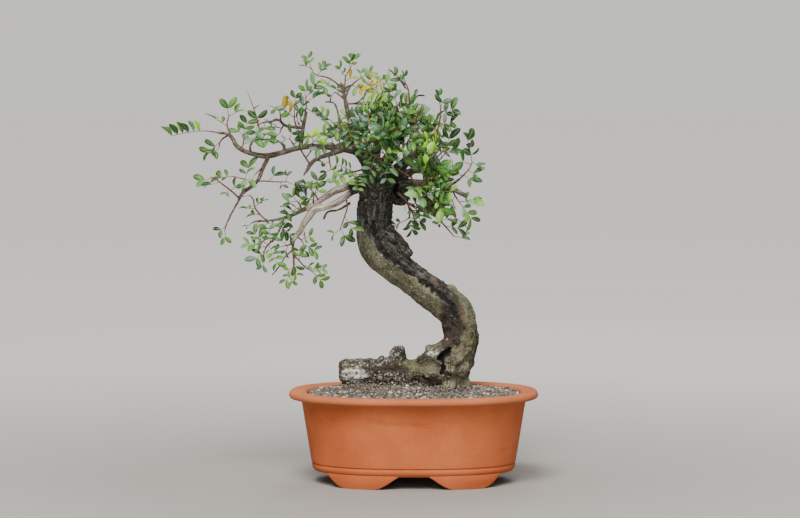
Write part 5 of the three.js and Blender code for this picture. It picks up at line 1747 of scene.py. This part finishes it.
def grow_inner_spray(limb):
    """A twig with up to four leaves, from a random place on the outer two thirds of a limb."""
    base, along = place_on_route(limb, leaf_dice.uniform(0.35, 1.0))
    outward = (base - CROWN_HEART).normalized()
    heading = jittered(outward + along * 0.4 + Vector((0, 0, 0.25)), 0.55)
    length = leaf_dice.uniform(16, 32)
    twig = [base]
    for _ in range(3):
        heading = jittered(heading, 0.22)
        twig.append(twig[-1] + heading * (length / 3))
    if not in_crown(twig[-1]):
        return 0
    kept = 0
    spin = leaf_dice.uniform(0, math.tau)
    tone = leaf_dice.uniform(0.05, 0.8)
    for share in LEAF_SHARES:
        start, direction = place_on_route(twig, share)
        spin += GOLDEN_ANGLE
        sideways = direction.orthogonal().normalized()
        sideways.rotate(Matrix.Rotation(spin, 3, direction))
        spread = 1.1 - 0.8 * (share == 1.0)
        aim = jittered(direction * 0.7 + sideways * spread + Vector((0, 0, 0.2)), 0.2)
        tip = start + aim * leaf_dice.uniform(22, 34)
        if not in_crown(tip):
            continue
        group = foliages["back_foliage" if tip.y > BACK_START else "crown_foliage"]
        add_leaf(group, start, tip, math.radians(leaf_dice.uniform(15, 80)), tone, INNER_FORM)
        kept += 1
    if kept:
        fresh_twigs.append(tapering(twig, TWIG_RADIUS, TWIG_TAPER))
    return kept


inner_leaves = 0
for limb_name, wanted in INNER_SPRAYS.items():
    grown = 0
    for _ in range(wanted * TRIES_PER_SPRAY):
        if grown < wanted:
            leaves_kept = grow_inner_spray(WOOD[limb_name])
            inner_leaves += leaves_kept
            grown += leaves_kept > 0
print("inner leaves:", inner_leaves, "leaflets in all:", sum(len(f.places) for f in foliages.values()))

# %% Twigs that carry no leaf
BARE_TWIGS = (
    [(-170, -14, 386), (-175, -14, 409), (-180, -14, 424), (-185, -14, 437)],
    [(-178, -14, 419), (-171, -15, 423)],
    [(30, 10, 312), (45, 8, 298), (63, 6, 283)],
    [(-9, 4, 441), (-16, 2, 452), (-23, 0, 461)],
    [(-25, -25, 369), (-40, -35, 379), (-54, -40, 382), (-70, -41, 377), (-84, -38, 374)],
    [(-32, -13, 355), (-21, -24, 352), (-10, -31, 347), (0, -34, 339), (7, -35, 331)],
)
BARE_RADIUS = 0.95
BARE_TAPER = 0.6
fresh_twigs += [tapering(points, BARE_RADIUS, BARE_TAPER) for points in BARE_TWIGS]

# %% [markdown]
# A leaflet is leathery and dark green. Its midrib is drawn in its own UV map, so it follows each copy. Four
# attributes tint it: its tone, autumn gold, the lime of new growth, and a bluish sheen on leaves that mirror
# the sky.

# %% Leaf finish
leaf = Finish("mastic_leaf", 0.44, 0.3)
mottle = leaf.noise(90, 3, 0.6)
leaf.colour = leaf.ramp(
    leaf.attribute("tone"),
    (0.0, (14, 38, 22)),
    (0.3, (34, 74, 36)),
    (0.62, (70, 120, 44)),
    (1.0, (128, 170, 68)),
)
leaf.coat(leaf.mask(mottle, 0.4, 0.7), (112, 150, 70), 0.4)
leaf.coat(leaf.attribute("lime"), (150, 206, 44))
leaf.coat(leaf.attribute("gold"), (180, 146, 12))
leaf.coat(leaf.attribute("sheen"), (132, 164, 150), 0.5)
uv_map = leaf.nodes.new("ShaderNodeUVMap")
uv_map.uv_map = "leaf_uv"
from_rib = leaf.maths("ABSOLUTE", leaf.maths("SUBTRACT", leaf.part(uv_map.outputs["UV"], "Y"), 0.5))
rib = leaf.mask(from_rib, 0.05, 0.02)
leaf.coat(rib, (170, 196, 104), 0.5)
leaf.shader.inputs["Subsurface Weight"].default_value = 0.1
leaf.shader.inputs["Subsurface Radius"].default_value = (0.002, 0.003, 0.001)
leaf.shader.inputs["Subsurface Scale"].default_value = 1.0
mastic_leaf = leaf.done(leaf.bump(leaf.plus(rib, mottle), 0.0004, 0.5))

# %% Finish the foliage
for name, foliage in foliages.items():
    own_nodes = [f"spray_{s}" for s in SPRAYS if group_of(s) == name and f"spray_{s}" in frame["nodes"]]
    finish_piece(foliage.build(), "foliage", mastic_leaf, *own_nodes)

# %% Finish the twigs and the leaf stalks
young = Finish("young_twig", 0.65, 0.35)
young_bark = young.noise(240, 4, 0.6)
young.colour = young.ramp(young_bark, (0.3, (58, 32, 27)), (0.5, (98, 56, 44)), (0.72, (140, 96, 78)))
young_twig = young.done(young.bump(young.noise(900, 3, 0.6), 0.0002, 0.7))
twigs = tubes("fresh_twigs", fresh_twigs, sides=1, steps=3)
smooth(twigs)
finish_piece(twigs, "bark", young_twig)
stalks = tubes("leaf_stalks", leaf_stalks, sides=0, steps=1)
smooth(stalks)
stalk = Finish("leaf_stalk", 0.6, 0.4)
stalk.colour = stalk.ramp(stalk.noise(80, 2, 0.5), (0.35, (92, 110, 44)), (0.65, (136, 78, 54)))
finish_piece(stalks, "foliage", stalk.done())

# %% [markdown]
# ## Floor and light
#
# The whole thing stands on a plain pale floor that runs out of sight and pales with distance. A soft sun and
# two large panels light it from the front and above, and a third panel lights it from behind. So the ends of
# the pot and the underside of its lip are darker, as in daylight. The air is bright at the horizon, where it
# meets the far floor in one tone, and dim above that, so that it doesn't flood the shadows.

# %% Floor
FLOOR_RADIUS = 60
FLOOR_MIDDLE_BACK = 2
bpy.ops.mesh.primitive_circle_add(
    vertices=96,
    radius=FLOOR_RADIUS,
    fill_type="NGON",
    location=(POT_MIDDLE.x, FLOOR_MIDDLE_BACK, 0),
)
floor = bpy.context.object
floor.name = "studio_floor"
settle(floor)
paper = Finish("studio_paper", 0.9, 0.2)
away = paper.nodes.new("ShaderNodeVectorMath")
away.operation = "LENGTH"
paper.link(paper.place, away.inputs[0])
paper.colour = paper.ramp(
    paper.times(away.outputs["Value"], 0.25),
    (0.06, (150, 147, 142)),
    (0.3, (196, 194, 190)),
    (0.8, (229, 228, 227)),
)
floor.data.materials.append(paper.done())

# %% Lights
LIT_POINT = at(-20, 0, 220)
SUN_PLACE = at(-300, -1500, 2300)
SUN_TURN = (math.radians(47), 0, math.radians(-8))


def add_lamp(kind, name, place, power, tint, turn=(0, 0, 0)):
    """A lamp of any kind."""
    bpy.ops.object.light_add(type=kind, location=place, rotation=turn)
    lamp = bpy.context.object
    lamp.name = name
    lamp.data.energy = power
    lamp.data.color = tint
    return lamp


def add_panel(name, place, size, power, tint=(1, 1, 1)):
    """A large soft light that points at the middle of the tree."""
    lamp = add_lamp("AREA", name, place, power, tint)
    lamp.data.shape = "DISK"
    lamp.data.size = size
    lamp.rotation_euler = (LIT_POINT - place).to_track_quat("-Z", "Y").to_euler()
    return lamp


lamps = [
    add_panel("key_light", SUN_PLACE, 0.9, 60, (1.0, 0.97, 0.92)),
    add_panel("front_fill", at(-100, -2400, 800), 1.4, 14),
    add_panel("back_light", at(300, 1500, 1700), 1.0, 16),
    add_lamp("SUN", "soft_daylight", SUN_PLACE, 2.35, (1.0, 0.975, 0.94), SUN_TURN),
]
lamps[-1].data.angle = math.radians(30)

# %% Air, by how far up a direction points
world = bpy.data.worlds.new("studio_air")
world.use_nodes = True
air = world.node_tree
direction = air.nodes.new("ShaderNodeTexCoord")
upward = air.nodes.new("ShaderNodeSeparateXYZ")
air.links.new(direction.outputs["Generated"], upward.inputs["Vector"])
glow = air.nodes.new("ShaderNodeValToRGB")
AIR_STOPS = (
    (0.04, (0.7940, 0.7805, 0.7551, 1)),
    (0.12, (0.1600, 0.1573, 0.1522, 1)),
    (0.5, (0.2000, 0.1966, 0.1902, 1)),
    (1.0, (1, 1, 1, 1)),
)
fill_ramp(glow.color_ramp, AIR_STOPS)
air.links.new(upward.outputs["Z"], glow.inputs["Fac"])
air.links.new(glow.outputs["Color"], air.nodes["Background"].inputs["Color"])
air.nodes["Background"].inputs["Strength"].default_value = 1.0
bpy.context.scene.world = world
